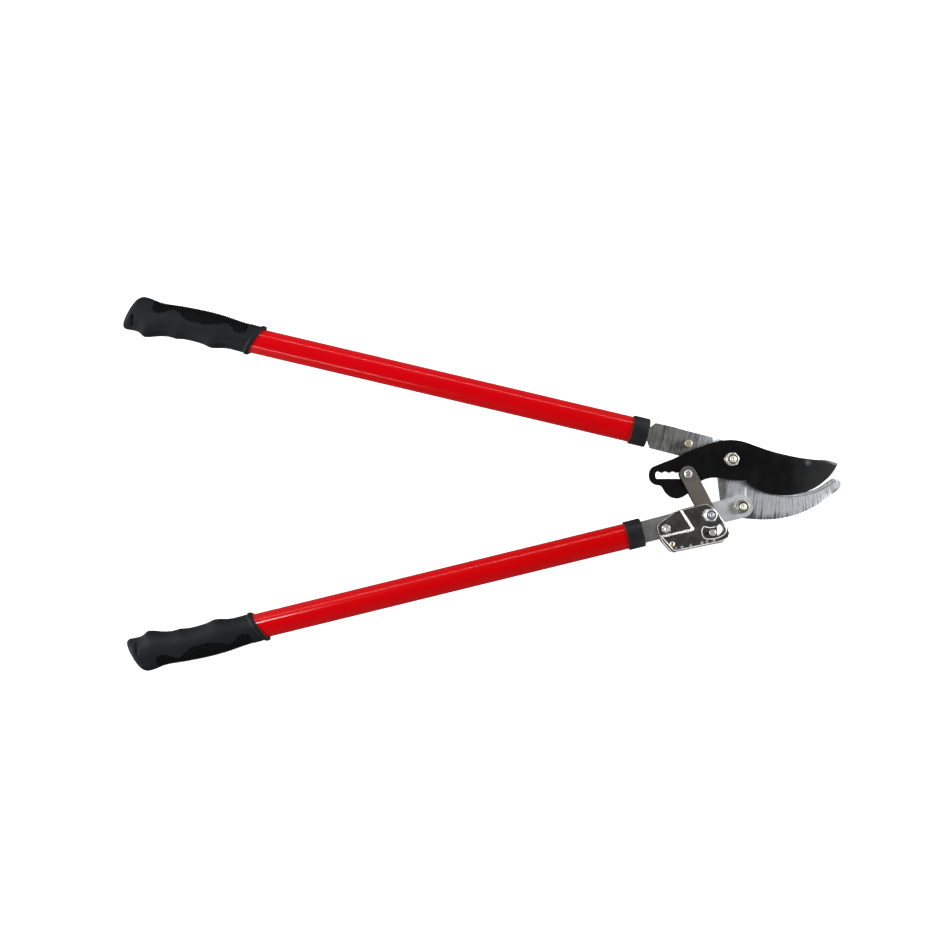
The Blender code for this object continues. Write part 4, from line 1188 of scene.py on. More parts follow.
hook = slab("forged_hook", hook_outline,
            [circle(MAIN, 4.35, 48), circle(HANDLE_PIVOT, 4.35, 48),
             circle(STOP_PIN, 3.1, 32), circle(UPPER.at(PIN_S, 0), 2.7, 32)],
            HOOK_Z, HOOK, bevel=0.45, segs=3, pitch=1.3, top=hook_face)
piece(hook, "frame", "hook_steel", "hook_jaw")

# ---------------------------------------------------------------------- blade
SLOT_LOW = -20.5
SLOT_LEFT = -79.4
PIN_NOTCH_R = 3.55
PIN_NOTCH_Y = -15.45
NOTCH_R = 4.35
NOTCH_Y = -17.35
TOOTH_Y = -14.25
NOTCH_X = [-45.5 - 7.78 * i for i in range(5)]
pin_half = math.degrees(math.asin((TOOTH_Y - PIN_NOTCH_Y) / PIN_NOTCH_R))
notch_half = math.degrees(math.asin((TOOTH_Y - NOTCH_Y) / NOTCH_R))
slot = arc((NOTCH_X[0], PIN_NOTCH_Y), PIN_NOTCH_R, 0.0, 180.0 - pin_half, 14)
for nx in NOTCH_X[1:4]:
    slot += arc((nx, NOTCH_Y), NOTCH_R, notch_half, 180.0 - notch_half, 12)
slot += arc((NOTCH_X[4], NOTCH_Y), NOTCH_R, notch_half, 92.0, 6)
slot += arc((SLOT_LEFT + 2.5, NOTCH_Y + NOTCH_R - 2.5), 2.5, 92, 180, 7)
slot += arc((SLOT_LEFT + 2.0, SLOT_LOW + 2.0), 2.0, 180, 270, 6)
slot += arc((NOTCH_X[0] + PIN_NOTCH_R - 2.0, SLOT_LOW + 2.0), 2.0, 270, 360, 6)

blade_back = smooth([(-85.3, -12.9), (-83.2, -9.3), (-79.9, -7.3),
                     (-69.4, -3.0), (-58.5, 1.2), (-49.3, 5.9),
                     (-40.3, 9.9), (-29.9, 13.7), (-19.5, 17.3),
                     (-8.8, 19.7), (1.1, 20.2),
                     (10.1, 19.1), (18.0, 16.8), (27.1, 13.4),
                     (42.2, 8.4), (57.1, 4.6), (72.2, 1.6), (87.1, -0.3),
                     (99.2, -0.9), (105.1, -2.0)], 5)
blade_tip = [(109.6, -3.2), (112.2, -4.05), (112.5, -4.6), (111.5, -7.2)]
blade_edge = smooth([(108.9, -11.7), (105.7, -16.0), (101.4, -20.6),
                     (92.2, -27.8), (83.2, -32.6), (72.2, -36.0),
                     (60.2, -37.5), (47.1, -37.0), (37.2, -35.0),
                     (27.1, -31.2), (19.1, -26.2), (15.2, -22.0)], 6)
blade_heel = smooth([(11.5, -22.3), (7.2, -22.4), (0.2, -22.0),
                     (-8.8, -20.3), (-16.0, -19.4), (-24.0, -20.0),
                     (-32.2, -23.2), (-39.0, -29.2), (-44.9, -35.3),
                     (-47.5, -37.4), (-51.7, -39.9), (-56.4, -41.2),
                     (-62.1, -40.2), (-66.2, -37.4), (-69.4, -33.8),
                     (-71.5, -30.1), (-74.0, -27.8), (-78.9, -26.9),
                     (-82.5, -24.9), (-84.9, -21.8), (-85.9, -17.2)], 5)
to_edge = distance_to([(112.4, -4.5), (111.5, -7.2)] + blade_edge)
to_back = distance_to(blade_back[40:] + [(112.2, -4.05)])


def blade_face(x, y):
    """Taper ground: full thickness at the back, thin along the edge."""
    z = BLADE_Z[1]
    d = to_edge(x, y)
    w = 30.0
    if d < w and x > 8:
        z -= 4.4 * (1 - d / w) ** 2.2 * step(x, 8.0, 75.0)
    # narrow chamfer along the back of the jaw
    if x > 28:
        d = to_back(x, y)
        if d < 2.2:
            z -= 0.55 * (1 - d / 2.2) * step(x, 28.0, 45.0)
    return z


blade = slab("coated_blade", blade_back + blade_tip + blade_edge + blade_heel,
             [slot, circle(MAIN, 6.3, 48)], BLADE_Z, COATING, bevel=0.32,
             segs=2, pitch=1.5, top=blade_face)
piece(blade, "blade", "blade_coating", "cutting_blade")
bush = lathe("pivot_bush", [(4.3, 20.7), (4.5, 20.9), (5.8, 20.9), (6.0, 20.7),
                            (6.0, 15.8), (5.8, 15.6), (4.5, 15.6),
                            (4.3, 15.8)], MAIN, YELLOW, 64, ring=True)
piece(bush, "blade", "yellow_zinc", "blade_bush")


# ----------------------------------------------------------------- main pivot
def bolt(name, centre, half, turn, head_z, length_z, mat, body, node,
         shank=BOLT_R, thread_from=None, pitch=1.25, slot_name="zinc"):
    """A hex bolt, head down, with a threaded end and a centre dimple."""
    z0, z1 = head_z
    end = length_z
    rows = [(shank + 0.35, z1 + 0.02), (shank, z1 + 0.3)]
    t0 = thread_from or end - 9.0
    rows += [(shank, t0)]
    rows += thread(shank, t0, end - 1.1, pitch, 0.5)
    rows += [(shank - 0.25, end - 0.95), (shank - 0.35, end - 0.6),
             (shank - 0.9, end - 0.12), (shank - 1.3, end),
             (1.5, end - 0.02), (1.1, end - 0.3), (0.5, end - 0.55)]
    ob = hex_solid(name, centre, half, turn, z0, z1, mat, extra=rows,
                   low_round=True, top_round=False)
    return piece(ob, body, slot_name, node)


bolt("main_bolt", MAIN, HEX_M8, 0.15, (0.0, 5.2), 30.6, CREAM, "frame",
     "main_pivot_bolt", thread_from=23.0)
ob = lathe("main_back_washer",
           [(4.35, 5.7), (4.55, 5.5), (8.7, 5.5), (9.0, 5.8), (9.0, 6.7),
            (8.7, 7.0), (4.55, 7.0), (4.35, 6.8)], MAIN, DULL_ZINC, 64,
           ring=True)
piece(ob, "frame", "zinc", "main_rear_washer")
lock_line = circle(MAIN, 6.9, 72)
lock_line = [p for p in counter_clockwise(lock_line)
             if not (p[0] < 0 and abs(p[1]) < 1.75)]
k = next(i for i, p in enumerate(lock_line) if p[0] < 0 and p[1] < 0
         and lock_line[i - 1][0] < 0 and lock_line[i - 1][1] > 0)
lock_line = (lock_line[:k]
             + [(-7.5, 1.6), (-7.9, 1.15), (-7.9, -1.15), (-7.5, -1.6)]
             + lock_line[k:])
ob = slab("lock_tab_washer", lock_line, [circle(MAIN, 4.35, 48)],
          (21.25, 22.3), ZINC, bevel=0.2, segs=2)
piece(ob, "frame", "zinc", "main_lock_washer")
ob = hex_solid("main_nut", MAIN, 6.2, 0.15, 22.45, 28.7, ZINC, bore=4.25,
               extra=[(5.0, 28.7), (4.75, 28.55), (4.25, 27.9)])
piece(ob, "frame", "zinc", "main_pivot_nut")

# --------------------------------------------------------------- handle pivot
bolt("handle_bolt", HANDLE_PIVOT, HEX_M8, 0.3, (1.9, 6.9), 28.9, CREAM,
     "frame", "handle_pivot_bolt", thread_from=22.0)
ob = lathe("handle_washer",
           [(4.35, 21.5), (4.5, 21.3), (7.2, 21.3), (7.4, 21.5), (7.4, 22.2),
            (7.2, 22.4), (4.5, 22.4), (4.35, 22.2)], HANDLE_PIVOT, DULL_ZINC,
           64, ring=True)
piece(ob, "frame", "zinc", "handle_pivot_washer")
ob = hex_solid("handle_nut", HANDLE_PIVOT, 6.3, 0.3, 22.6, 27.6, DARK_ZINC,
               bore=4.25, extra=[(5.0, 27.6), (4.75, 27.45), (4.25, 26.8)])
piece(ob, "frame", "zinc", "handle_pivot_nut")

# ------------------------------------------------------------------- stop pin
ob = lathe("stop_pin",
           [(0.0, 27.95), (2.9, 28.0), (3.5, 27.9), (3.85, 27.6),
            (4.0, 27.1), (4.0, 15.6), (2.8, 15.6), (2.8, 7.6),
            (2.4, 7.4), (0.0, 7.4)], STOP_PIN, KHAKI, 64)
piece(ob, "frame", "yellow_zinc", "blade_stop_pin")

# ----------------------------------------------------------------- lower tang
TANG_HALF = 11.3
END_R = 11.7
LOWER_NECK = 9.0
tang_line = ([LOWER.at(TANG_NECK_S, -LOWER_NECK), LOWER.at(3.6, -LOWER_NECK),
              LOWER.at(3.4, -TANG_HALF)]
             + arc(HANDLE_PIVOT, END_R, 104.6, -75.4, 40)
             + [LOWER.at(3.4, TANG_HALF), LOWER.at(3.6, LOWER_NECK),
                LOWER.at(TANG_NECK_S, LOWER_NECK)])
ob = slab("ground_tang", tang_line,
          [circle(HANDLE_PIVOT, 4.35, 48), circle(LINK_PIVOT, 4.35, 48),
           circle(COVER_BOLT, 2.8, 32), circle(LOWER.at(PIN_S, 0), 2.7, 32)],
          BLADE_Z, TANG, bevel=0.6, segs=3)
piece(ob, "lower_handle", "tang_steel", "lower_tang")

# ---------------------------------------------------------------- link plates
arm = hull([(RATCHET_PIN, 8.4), (LINK_PIVOT, 8.1)], 96)
ob = slab("front_link", arm,
          [circle(RATCHET_PIN, 2.9, 32), circle(LINK_PIVOT, 4.4, 48)],
          FRONT_LINK_Z, LINK, bevel=0.3, segs=3)
piece(ob, "link", "link_steel", "front_link_plate")
tail = hull([(LINK_PIVOT, 8.8), ((-29.4, -78.0), 5.0), ((-19.1, -78.0), 5.6)],
            96)


def union_outline(a, b, centre, n=360):
    """Outer outline of two overlapping star-shaped outlines about a centre."""
    def reach(poly, ang):
        dx, dy = math.cos(ang), math.sin(ang)
        best = 0.0
        for i, p in enumerate(poly):
            q = poly[(i + 1) % len(poly)]
            ex, ey = q[0] - p[0], q[1] - p[1]
            den = dx * ey - dy * ex
            if abs(den) < 1e-9:
                continue
            wx, wy = p[0] - centre[0], p[1] - centre[1]
            r = (wx * ey - wy * ex) / den
            f = (wx * dy - wy * dx) / den
            if r > 0 and -1e-6 <= f <= 1 + 1e-6:
                best = max(best, r)
        return best
    out = []
    for i in range(n):
        ang = TAU * i / n
        r = max(reach(a, ang), reach(b, ang))
        out.append((centre[0] + r * math.cos(ang), centre[1] + r * math.sin(ang)))
    return out


ob = slab("rear_link", union_outline(arm, tail, LINK_PIVOT),
          [circle(RATCHET_PIN, 2.9, 32), circle(LINK_PIVOT, 4.4, 48),
           circle(TAIL_PIN, 2.1, 24)], REAR_LINK_Z, LINK, bevel=0.35, segs=2)
piece(ob, "link", "link_steel", "rear_link_plate")
ob = lathe("ratchet_rivet",
           [(0.0, 25.2), (1.7, 25.2), (1.85, 25.1), (1.95, 24.8),
            (2.25, 24.8), (2.4, 25.15), (2.6, 25.35),
            (3.5, 25.4), (3.95, 25.15), (4.2, 24.8), (4.3, 24.4),
            (4.3, 23.95), (2.6, 23.95), (2.6, 12.6), (4.3, 12.6),
            (4.3, 12.1), (4.0, 11.5), (3.3, 11.15), (0.0, 11.1)],
           RATCHET_PIN, ZINC, 64)
piece(ob, "link", "zinc", "ratchet_pin")
ob = lathe("tail_pin_turned",
           [(0.0, 24.9), (0.55, 24.9), (0.8, 25.25), (2.6, 25.3),
            (3.2, 25.2), (3.55, 24.95), (3.7, 24.6), (3.7, 23.95),
            (3.5, 23.8), (1.6, 23.8), (1.6, 19.4), (1.25, 19.1),
            (1.25, 18.1), (1.6, 17.8), (1.6, 12.6), (3.7, 12.6),
            (3.7, 11.9), (3.3, 11.35), (2.6, 11.2), (0.0, 11.2)],
           TAIL_PIN, ZINC, 48)
piece(ob, "link", "zinc", "link_tail_pin")

# ----------------------------------------------------------------- link pivot
ob = bolt("link_bolt", LINK_PIVOT, HEX_M8, 0.1, (3.9, 9.4), 34.1, DULL_ZINC,
          "lower_handle", "link_pivot_bolt", thread_from=27.0)
ob = hex_solid("link_lock_nut", LINK_PIVOT, 6.3, 0.1, 27.2, 32.4, ZINC,
               bore=5.0, low_round=True,
               extra=[(6.12, 32.45), (6.12, 33.9), (6.0, 34.3), (5.75, 34.6),
                      (5.45, 34.75), (5.15, 34.72), (5.0, 34.55)])
piece(ob, "lower_handle", "zinc", "link_pivot_nut")
ob = lathe("nylon_ring", [(4.25, 34.35), (4.4, 34.5), (4.6, 34.5),
                          (4.75, 34.35), (4.75, 31.5), (4.25, 31.5)],
           LINK_PIVOT, NYLON, 64, ring=True)
piece(ob, "lower_handle", "nylon", "nylon_insert")

# --------------------------------------------------------------------- covers
WINDOW_IN = 13.8
WINDOW_OUT = 24.3


def window_outline():
    def p(r, a):
        a = math.radians(a - 90.0)
        return (LINK_PIVOT[0] + r * math.cos(a), LINK_PIVOT[1] + r * math.sin(a))
    pts = [p(WINDOW_IN, a) for a in range(48, -25, -6)]
    pts += [p(WINDOW_IN + 1.0, -26.5), p(WINDOW_IN + 4.0, -26.0),
            p(20.5, -22.0), p(22.8, -17.5)]
    pts += [p(WINDOW_OUT, a) for a in range(-12, 37, 6)]
    pts += [p(23.6, 42.5), p(21.4, 49.0), p(18.0, 52.0), p(14.8, 51.5)]
    return pts


def rear_window_outline():
    """The right hand half of the same slot."""
    def p(r, a):
        a = math.radians(a - 90.0)
        return (LINK_PIVOT[0] + r * math.cos(a), LINK_PIVOT[1] + r * math.sin(a))
    pts = [p(WINDOW_IN, a) for a in range(48, 0, -6)]
    pts += [p(WINDOW_IN + 1.0, 3.0), p(WINDOW_OUT - 2.0, 3.0)]
    pts += [p(WINDOW_OUT, a) for a in range(8, 37, 6)]
    pts += [p(23.6, 42.5), p(21.4, 49.0), p(18.0, 52.0), p(14.8, 51.5)]
    return pts


window = counter_clockwise(smooth(window_outline(), 3, closed=True))
rear_window = counter_clockwise(smooth(rear_window_outline(), 3, closed=True))
front_line = counter_clockwise(rounded(
    [(-76.2, -67.8), (-59.8, -55.2), (-55.3, -53.8), (-27.6, -46.5),
     (-18.9, -51.6), (-14.7, -57.1), (-4.2, -71.6), (-2.4, -76.6),
     (-4.0, -81.8), (-10.8, -85.6), (-61.0, -96.0), (-75.4, -79.8),
     (-77.3, -73.6), (-77.6, -70.4)],
    [1.6, 3.0, 3.0, 1.6, 3.0, 3.0, 3.0, 4.0, 4.0, 5.0, 3.6, 3.0, 3.0, 1.4],
    5))
rear_line = counter_clockwise(rounded(
    [(-76.2, -67.8), (-59.8, -55.2), (-55.3, -53.8), (-28.5, -46.6),
     (-18.9, -51.6), (-14.7, -57.1), (-4.2, -71.6), (-2.5, -76.4),
     (-4.2, -82.6), (-10.4, -87.6), (-56.8, -97.0), (-60.6, -98.4),
     (-63.4, -97.2), (-72.6, -86.6), (-76.2, -80.0), (-77.6, -72.4)],
    [1.6, 3.0, 3.0, 1.4, 3.0, 3.0, 3.0, 4.0, 4.0, 5.0, 3.0, 3.0, 3.0, 3.0,
     3.0, 1.6], 5))
STEP_A = ((-53.2, -53.6), (-40.4, -73.3))
STEP_B = ((-40.4, -73.3), (-75.5, -81.2))


def side_of(line):
    """Signed distance from a line, positive towards the cover bolt."""
    (ax, ay), (bx, by) = line
    ln = math.hypot(bx - ax, by - ay)
    nx, ny = (by - ay) / ln, -(bx - ax) / ln
    if (COVER_BOLT[0] - ax) * nx + (COVER_BOLT[1] - ay) * ny < 0:
        nx, ny = -nx, -ny
    return (lambda x, y: (x - ax) * nx + (y - ay) * ny), (nx, ny)


side_a, normal_a = side_of(STEP_A)
side_b, normal_b = side_of(STEP_B)


def in_recess(x, y, rho=2.4):
    """Signed distance into the recessed panel, its corner rounded."""
    a, b = side_a(x, y), side_b(x, y)
    if a < rho and b < rho:
        return rho - math.hypot(rho - a, rho - b)
    return min(a, b)


REAR_STEPS = (((-60.9, -30.0), (-53.4, -63.0)),
              ((-53.4, -63.0), (-56.0, -79.6)),
              ((-56.0, -79.6), (-100.0, -81.6)))
rear_sides = [side_of(line) for line in REAR_STEPS]


def in_rear_pad(x, y, rho=2.4):
    """The same for the rear cover's pad, clear of the swinging link."""
    a, b, c = (f(x, y) for f, nrm in rear_sides)
    a = min(a, b)
    if a < rho and c < rho:
        return rho - math.hypot(rho - a, rho - c)
    return min(a, c)


def pressed(x, y, high, low, half=1.15, region=in_recess):
    """Height of a panel pressed from one level to another.

    A straight slope with a short bend at either end.
    """
    d = region(x, y)
    bend = 0.45
    span = 2 * half - bend
    if d <= -half:
        f = 0.0
    elif d < -half + bend:
        f = (d + half) ** 2 / (2 * bend * span)
    elif d < half - bend:
        f = (d + half - bend / 2) / span
    elif d < half:
        f = 1.0 - (half - d) ** 2 / (2 * bend * span)
    else:
        f = 1.0
    return high + (low - high) * f


def formed_sheet(name, outline, window_line, holes, height, wall, radius,
                 thick, steps, corner, region, lip=0.35, flip=False):
    """A pressed sheet: rounded bends, flanges and a raised window rim.

    height(x, y) is the outer face; wall(x, y) is where the flange ends at
    the outline, or None where the sheet is just cut; flip for a sheet that
    is seen from below.
    """
    sign = -1.0 if flip else 1.0
    outline = resample(outline, 1.3)
    n = len(outline)
    rad = []
    for x, y in outline:
        z = height(x, y)
        w = wall(x, y)
        rad.append(radius if w is not None else 0.30)
    for _ in range(4):
        rad = [0.25 * rad[i - 1] + 0.5 * rad[i] + 0.25 * rad[(i + 1) % n]
               for i in range(n)]
    inner = inset(outline, rad)
    for _ in range(6):
        for i in range(n):
            j = (i + 1) % n
            if ((inner[j][0] - inner[i][0]) * (outline[j][0] - outline[i][0])
                    + (inner[j][1] - inner[i][1])
                    * (outline[j][1] - outline[i][1])) <= 0:
                m = ((inner[i][0] + inner[j][0]) / 2,
                     (inner[i][1] + inner[j][1]) / 2)
                inner[i] = (m[0] * 0.999 + inner[i - 1][0] * 0.001,
                            m[1] * 0.999 + inner[i - 1][1] * 0.001)
                inner[j] = m
    rim = 1.5
    out_window = counter_clockwise(window_line)
    big_window = inset(out_window, -rim)
    loops = [inner, big_window] + [list(h) for h in holes]
    cuts = []
    for line, nrm in steps:
        for d in (-1.6, -1.15, -0.92, -0.7, -0.35, 0.0, 0.35, 0.7, 0.92, 1.15,
                  1.6):
            cuts.append(((line[0][0] + nrm[0] * d, line[0][1] + nrm[1] * d),
                         nrm))
    cuts += grid(outline, 1.4)
    cuts += grid(outline, 0.45, corner)
    bm = cap(loops, cuts)
    for v in bm.verts:
        v.co.z = height(v.co.x, v.co.y)
    bm.verts.ensure_lookup_table()
    # faces on the pressed step take the painted-highlight material
    for f in bm.faces:
        c = f.calc_center_median()
        if abs(region(c.x, c.y)) < 0.80:
            f.material_index = 1
    rims = [e for e in bm.edges if len(e.link_faces) == 1]
    seen, chains = set(), []
    near = {}
    for e in rims:
        for v in e.verts:
            near.setdefault(v, []).append(e)
    for e in rims:
        if e in seen:
            continue
        chain, v, cur = [], e.verts[0], e
        while cur not in seen:
            seen.add(cur)
            chain.append(v)
            v = cur.other_vert(v)
            nxt = [q for q in near[v] if q not in seen]
            if not nxt:
                break
            cur = nxt[0]
        chains.append(chain)

    def match(v, poly, target):
        """Vector from a rim point to the same place on the target line."""
        best, w = 1e9, None
        m = len(poly)
        for i in range(m):
            ax, ay = poly[i]
            bx, by = poly[(i + 1) % m]
            dx, dy = bx - ax, by - ay
            dd = dx * dx + dy * dy or 1e-9
            t = clamp(((v.co.x - ax) * dx + (v.co.y - ay) * dy) / dd)
            e = (v.co.x - ax - dx * t) ** 2 + (v.co.y - ay - dy * t) ** 2
            if e < best:
                best = e
                ta, tb = target[i], target[(i + 1) % m]
                w = (ta[0] + (tb[0] - ta[0]) * t - ax - dx * t,
                     ta[1] + (tb[1] - ta[1]) * t - ay - dy * t)
        return best, w

    for chain in chains:
        b0 = match(chain[0], inner, outline)[0]
        b1 = match(chain[0], big_window, out_window)[0]
        if min(b0, b1) > 1e-3:
            continue
        rows = [chain]
        if b0 < b1:
            data = []
            for v in chain:
                w = match(v, inner, outline)[1]
                r = math.hypot(*w)
                x, y = v.co.x + w[0], v.co.y + w[1]
                low = wall(x, y)
                data.append((w, r, height(x, y), low))
            bends = 6
            for k in range(1, bends + 1):
                th = math.pi / 2 * (1 - k / bends)
                row = []
                for v, (w, r, z, low) in zip(chain, data):
                    f = math.cos(th)
                    base = v.co.z + (z - v.co.z) * f
                    row.append(bm.verts.new((
                        v.co.x + w[0] * f, v.co.y + w[1] * f,
                        base - sign * r * (1 - math.sin(th)))))
                rows.append(row)
            row = []
            for v, (w, r, z, low) in zip(chain, data):
                bottom = (z - sign * (r + 0.02)) if low is None else low
                row.append(bm.verts.new((v.co.x + w[0], v.co.y + w[1],
                                         bottom)))
            rows.append(row)
        else:
            for f, dz in ((0.25, 0.02), (0.45, 0.45), (0.62, 0.9),
                          (0.82, 1.0), (1.0, 0.8)):
                row = []
                for v in chain:
                    w = match(v, big_window, out_window)[1]
                    row.append(bm.verts.new((v.co.x + w[0] * f,
                                             v.co.y + w[1] * f,
                                             v.co.z + sign * lip * dz)))
                rows.append(row)
        m = len(chain)
        # the bend rows and the window rim take the painted-highlight material
        bright = (0, 1, 2, 3) if b0 < b1 else (1, 2, 3)
        for k, (a, b) in enumerate(zip(rows, rows[1:])):
            for i in range(m):
                j = (i + 1) % m
                try:
                    f = bm.faces.new((a[i], a[j], b[j], b[i]))
                except ValueError:
                    continue
                upper = b0 >= b1 and f.calc_center_median().y > -70.0
                f.material_index = 1 if k in bright and not upper else 0
    bmesh.ops.remove_doubles(bm, verts=bm.verts, dist=0.004)
    bmesh.ops.recalc_face_normals(bm, faces=bm.faces)
    up = sum(f.normal.z * f.calc_area() for f in bm.faces)
    if up * sign < 0:
        bmesh.ops.reverse_faces(bm, faces=bm.faces)
    ob = place(name, bm, [NICKEL, BEND_HIGHLIGHT], angle=0)
    sol = ob.modifiers.new("sheet", "SOLIDIFY")
    sol.thickness = thick * MM
    sol.offset = -1.0
    sol.use_even_offset = False
    # the cut edges take the painted-highlight material too
    sol.material_offset_rim = 1
    bev = ob.modifiers.new("rims", "BEVEL")
    bev.width = 0.22 * MM
    bev.segments = 2
    bev.limit_method = "ANGLE"
    bev.angle_limit = math.radians(60)
    bev.harden_normals = True
    return ob


FRONT_LOW = 22.5
FRONT_HIGH = 26.9
FLANGE = [(-11.6, -61.3), (-4.2, -71.6), (-2.4, -76.6), (-4.0, -81.8),
          (-10.8, -85.6), (-61.0, -96.0), (-73.2, -82.3)]
on_flange = distance_to(FLANGE)


def front_wall(x, y):
    if on_flange(x, y) < 1.6:
        return 21.35
    return None


front = formed_sheet(
    "pressed_front_cover", front_line, window,
    [circle(LINK_PIVOT, 4.4, 40), circle(COVER_BOLT, 2.8, 28),
     circle(SPRING_ANCHOR, 2.2, 24)],
    lambda x, y: pressed(x, y, FRONT_HIGH, FRONT_LOW), front_wall, 1.1, 1.15,
    ((STEP_A, normal_a), (STEP_B, normal_b)), (-44.5, -38.5, -76.5, -70.5),
    in_recess)
piece(front, "lower_handle", "nickel", "front_cover")

REAR_FLANGE = [(-3.4, -80.5), (-4.2, -82.6), (-10.4, -87.6), (-56.8, -97.0),
               (-60.2, -98.2), (-63.2, -97.2), (-72.6, -86.6), (-74.2, -83.6)]
on_rear = distance_to(REAR_FLANGE)


def rear_wall(x, y):
    if on_rear(x, y) < 1.4:
        return 25.0
    return None


rear = formed_sheet(
    "pressed_rear_cover", rear_line, rear_window,
    [circle(LINK_PIVOT, 4.4, 40), circle(COVER_BOLT, 2.8, 28),
     circle(SPRING_ANCHOR, 2.2, 24)],
    lambda x, y: pressed(x, y, 9.7, 14.0, region=in_rear_pad), rear_wall, 1.6,
    1.15, [(line, nrm) for line, (f, nrm) in zip(REAR_STEPS, rear_sides)],
    (-59.0, -53.0, -82.5, -76.5), in_rear_pad, flip=True)
piece(rear, "lower_handle", "nickel", "rear_cover")

# ----------------------------------------------------------- cover fasteners
ob = hex_solid("cover_screw", COVER_BOLT, HEX_M5, 0.55, 22.7, 26.2, ZINC,
               low_round=False, extra=[(2.1, 26.2), (1.75, 26.02),
                                       (1.0, 25.75), (0.5, 25.68)], n=72)
ob2 = lathe("cover_screw_shank",
            [(0.0, 22.9), (2.5, 22.9), (2.5, 15.0)]
            + [(r, 15.0 - (z - 9.0)) for r, z in thread(2.5, 9.0, 14.6, 0.8, 0.3)]
            + [(2.2, 9.1), (1.8, 8.8), (0.0, 8.8)], COVER_BOLT, ZINC, 48)
bm = bmesh.new()
bm.from_mesh(ob.data)
bm.from_mesh(ob2.data)
bm.to_mesh(ob.data)
bm.free()
bpy.data.objects.remove(ob2, do_unlink=True)
ob.data.shade_smooth()
ob.data.set_sharp_from_angle(angle=math.radians(32))
piece(ob, "lower_handle", "zinc", "cover_bolt")
ob = hex_solid("cover_back_nut", COVER_BOLT, HEX_M5, 0.55, 9.9, 13.8,
               DULL_ZINC, bore=2.75, extra=[(3.2, 13.8), (2.75, 13.4)], n=72)
piece(ob, "lower_handle", "zinc", "cover_nut")
ob = lathe("tubular_rivet",
           [(0.95, 27.6), (1.05, 27.85), (1.3, 28.0), (1.7, 27.98),
            (2.2, 27.85), (2.6, 27.55), (2.7, 27.25), (2.6, 27.1), (1.6, 27.1),
            (1.6, 9.5), (2.9, 9.5), (2.9, 9.1), (2.6, 8.7), (2.1, 8.5),
            (1.2, 8.5), (0.95, 8.8)], SPRING_ANCHOR, YELLOW, 48, ring=True)
piece(ob, "lower_handle", "yellow_zinc", "spring_anchor_rivet")

# -------------------------------------------------------------- return spring
COIL_R = 2.7
WIRE_R = 0.5
TURNS = 14
EYE_R = 2.4
SPRING_Z = 18.6
a = Vector((SPRING_ANCHOR[0], SPRING_ANCHOR[1], SPRING_Z))
b = Vector((TAIL_PIN[0], TAIL_PIN[1], SPRING_Z))
d = (b - a).normalized()
side = Vector((-d.y, d.x, 0.0))
up = Vector((0.0, 0.0, 1.0))
length = (b - a).length
start, end = 8.6, length - 8.6
pts = []
for i in range(29):
    ang = math.radians(100 - 280 * (1 - i / 28))
    pts.append(a + d * (EYE_R * math.cos(ang)) + side * (EYE_R * math.sin(ang)))
n = TURNS * 20
for i in range(n + 1):
    t = i / n
    ang = TAU * TURNS * t
    pts.append(a + d * (start + (end - start) * t)
               + side * (COIL_R * math.cos(ang)) + up * (COIL_R * math.sin(ang)))
for i in range(29):
    ang = math.radians(80 - 280 * (i / 28))
    pts.append(b - d * (EYE_R * math.cos(ang)) + side * (EYE_R * math.sin(ang)))
ob = sweep("coil_spring", pts, WIRE_R, 10, SPRING)
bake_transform(ob)
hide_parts("return_spring")

# --------------------------------------------------------------------- studio
floor_mat = bpy.data.materials.new("pale_floor")
floor_mat.use_nodes = True
ft = floor_mat.node_tree
fb = ft.nodes["Principled BSDF"]
fb.inputs["Base Color"].default_value = (0.72, 0.72, 0.72, 1.0)
fb.inputs["Roughness"].default_value = 0.9
fb.inputs["Specular IOR Level"].default_value = 0.0
fb.inputs["Emission Color"].default_value = (1.0, 1.0, 1.0, 1.0)
path = ft.nodes.new("ShaderNodeLightPath")
lift = ft.nodes.new("ShaderNodeMath")
lift.operation = "MULTIPLY"
lift.inputs[1].default_value = 1.0
ft.links.new(path.outputs["Is Camera Ray"], lift.inputs[0])
ft.links.new(lift.outputs[0], fb.inputs["Emission Strength"])
fm = bpy.data.meshes.new("studio_floor")
fm.from_pydata([(-9, -9, 0), (9, -9, 0), (9, 9, 0), (-9, 9, 0)], [],
               [(0, 1, 2, 3)])
fm.materials.append(floor_mat)
floor = bpy.data.objects.new("studio_floor", fm)
scene.collection.objects.link(floor)
floor.location.z = -0.0004
floor.visible_glossy = False

world = bpy.data.worlds.new("studio")
scene.world = world
world.use_nodes = True
wt = world.node_tree
bg = wt.nodes["Background"]
tc = wt.nodes.new("ShaderNodeTexCoord")
sep = wt.nodes.new("ShaderNodeSeparateXYZ")
wt.links.new(tc.outputs["Generated"], sep.inputs[0])


def world_math(op, a, b=None):
    nd = wt.nodes.new("ShaderNodeMath")
    nd.operation = op
    for s, v in zip(nd.inputs, (a, b)):
        if isinstance(v, bpy.types.NodeSocket):
            wt.links.new(v, s)
        elif v is not None:
            s.default_value = v
    return nd.outputs[0]


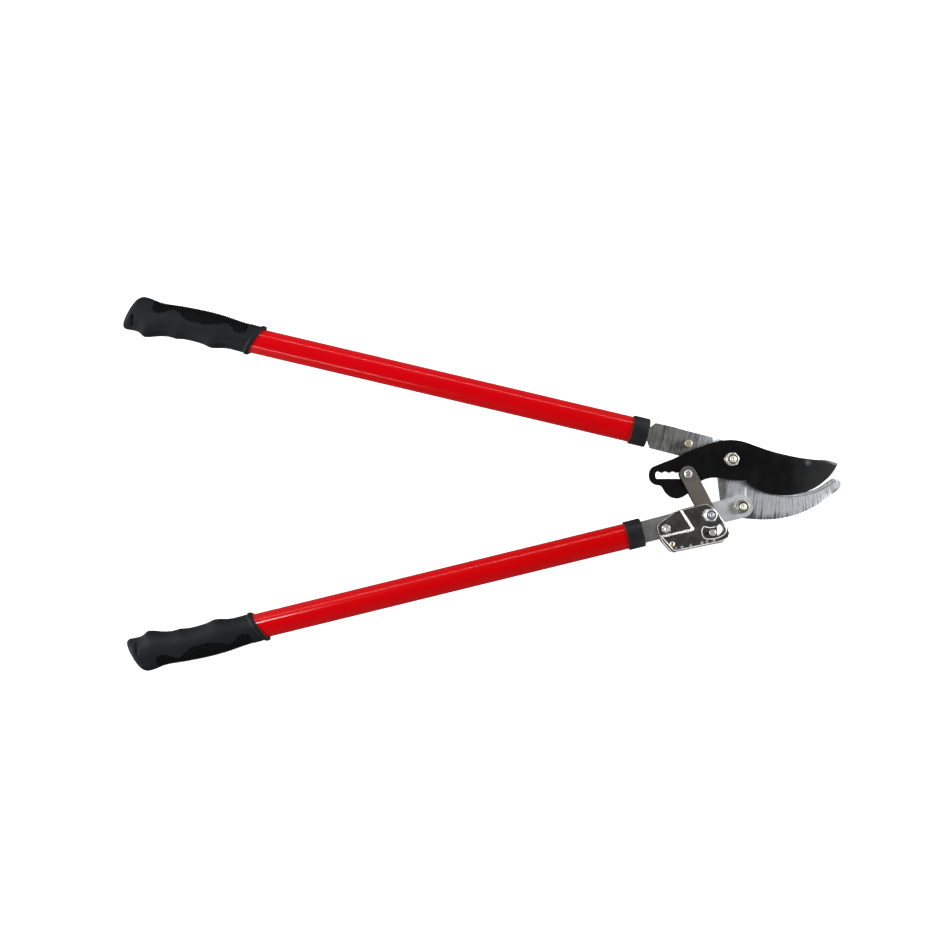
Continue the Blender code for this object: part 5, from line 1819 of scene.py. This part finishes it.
def world_range(v, a, b, c, d):
    nd = wt.nodes.new("ShaderNodeMapRange")
    nd.interpolation_type = "SMOOTHSTEP"
    wt.links.new(v, nd.inputs[0])
    for i, k in enumerate((a, b, c, d)):
        nd.inputs[i + 1].default_value = k
    return nd.outputs[0]


# dark overhead, bright low down at the two ends of the tool, dim along its
# sides, dimmer under the horizon
dome = world_range(sep.outputs[2], 0.66, 0.95, 1.0, 0.0)
band = world_range(sep.outputs[2], 0.36, 0.62, 1.0, 0.0)
ends = world_range(world_math("ABSOLUTE", sep.outputs[0]), 0.28, 0.80, 0.0, 1.0)
back = world_range(sep.outputs[1], -0.1, 0.6, 0.05, 0.09)
dome = world_math("MULTIPLY", dome, world_math("ADD", world_math(
    "MULTIPLY", ends, 0.75), back))
band = world_math("MULTIPLY", band, world_math("ADD", world_math(
    "MULTIPLY", ends, 1.5), back))
under = world_range(sep.outputs[2], -0.15, 0.08, 0.45, 1.0)
glow = world_math("MULTIPLY", world_math("ADD", dome, band), under)
glow = world_math("ADD", glow, 0.07)
wt.links.new(glow, bg.inputs["Strength"])
bg.inputs["Color"].default_value = (1.0, 1.0, 1.0, 1.0)


def area(name, loc, target, size, size_y, power, colour=(1, 1, 1)):
    ld = bpy.data.lights.new(name, "AREA")
    ld.shape = "RECTANGLE"
    ld.size = size
    ld.size_y = size_y
    ld.energy = power
    ld.color = colour
    ob = bpy.data.objects.new(name, ld)
    scene.collection.objects.link(ob)
    ob.location = loc
    ob.rotation_euler = (Vector(target) - Vector(loc)).to_track_quat(
        "-Z", "Y").to_euler()
    return ob


area("key", (1.40, 0.30, 1.05), (0.0, 0.0, 0.0), 0.6, 0.6, 20)
area("fill_left", (-2.3, 0.10, 1.25), (-0.5, 0.0, 0.0), 0.9, 0.9, 35)
area("strip_back", (-0.25, 1.42, 0.80), (-0.25, 0.0, 0.0), 2.6, 0.05, 7.5)
area("soft_front", (-1.05, -1.25, 0.88), (-0.55, 0.0, 0.0), 0.5, 0.10, 2.2)
area("soft_end", (-0.98, 0.58, 1.20), (-0.49, -0.16, 0.0), 0.10, 0.22, 3.0)

scene.view_settings.view_transform = "Standard"
scene.view_settings.look = "None"
scene.view_settings.exposure = 0.0
scene.view_settings.gamma = 1.0
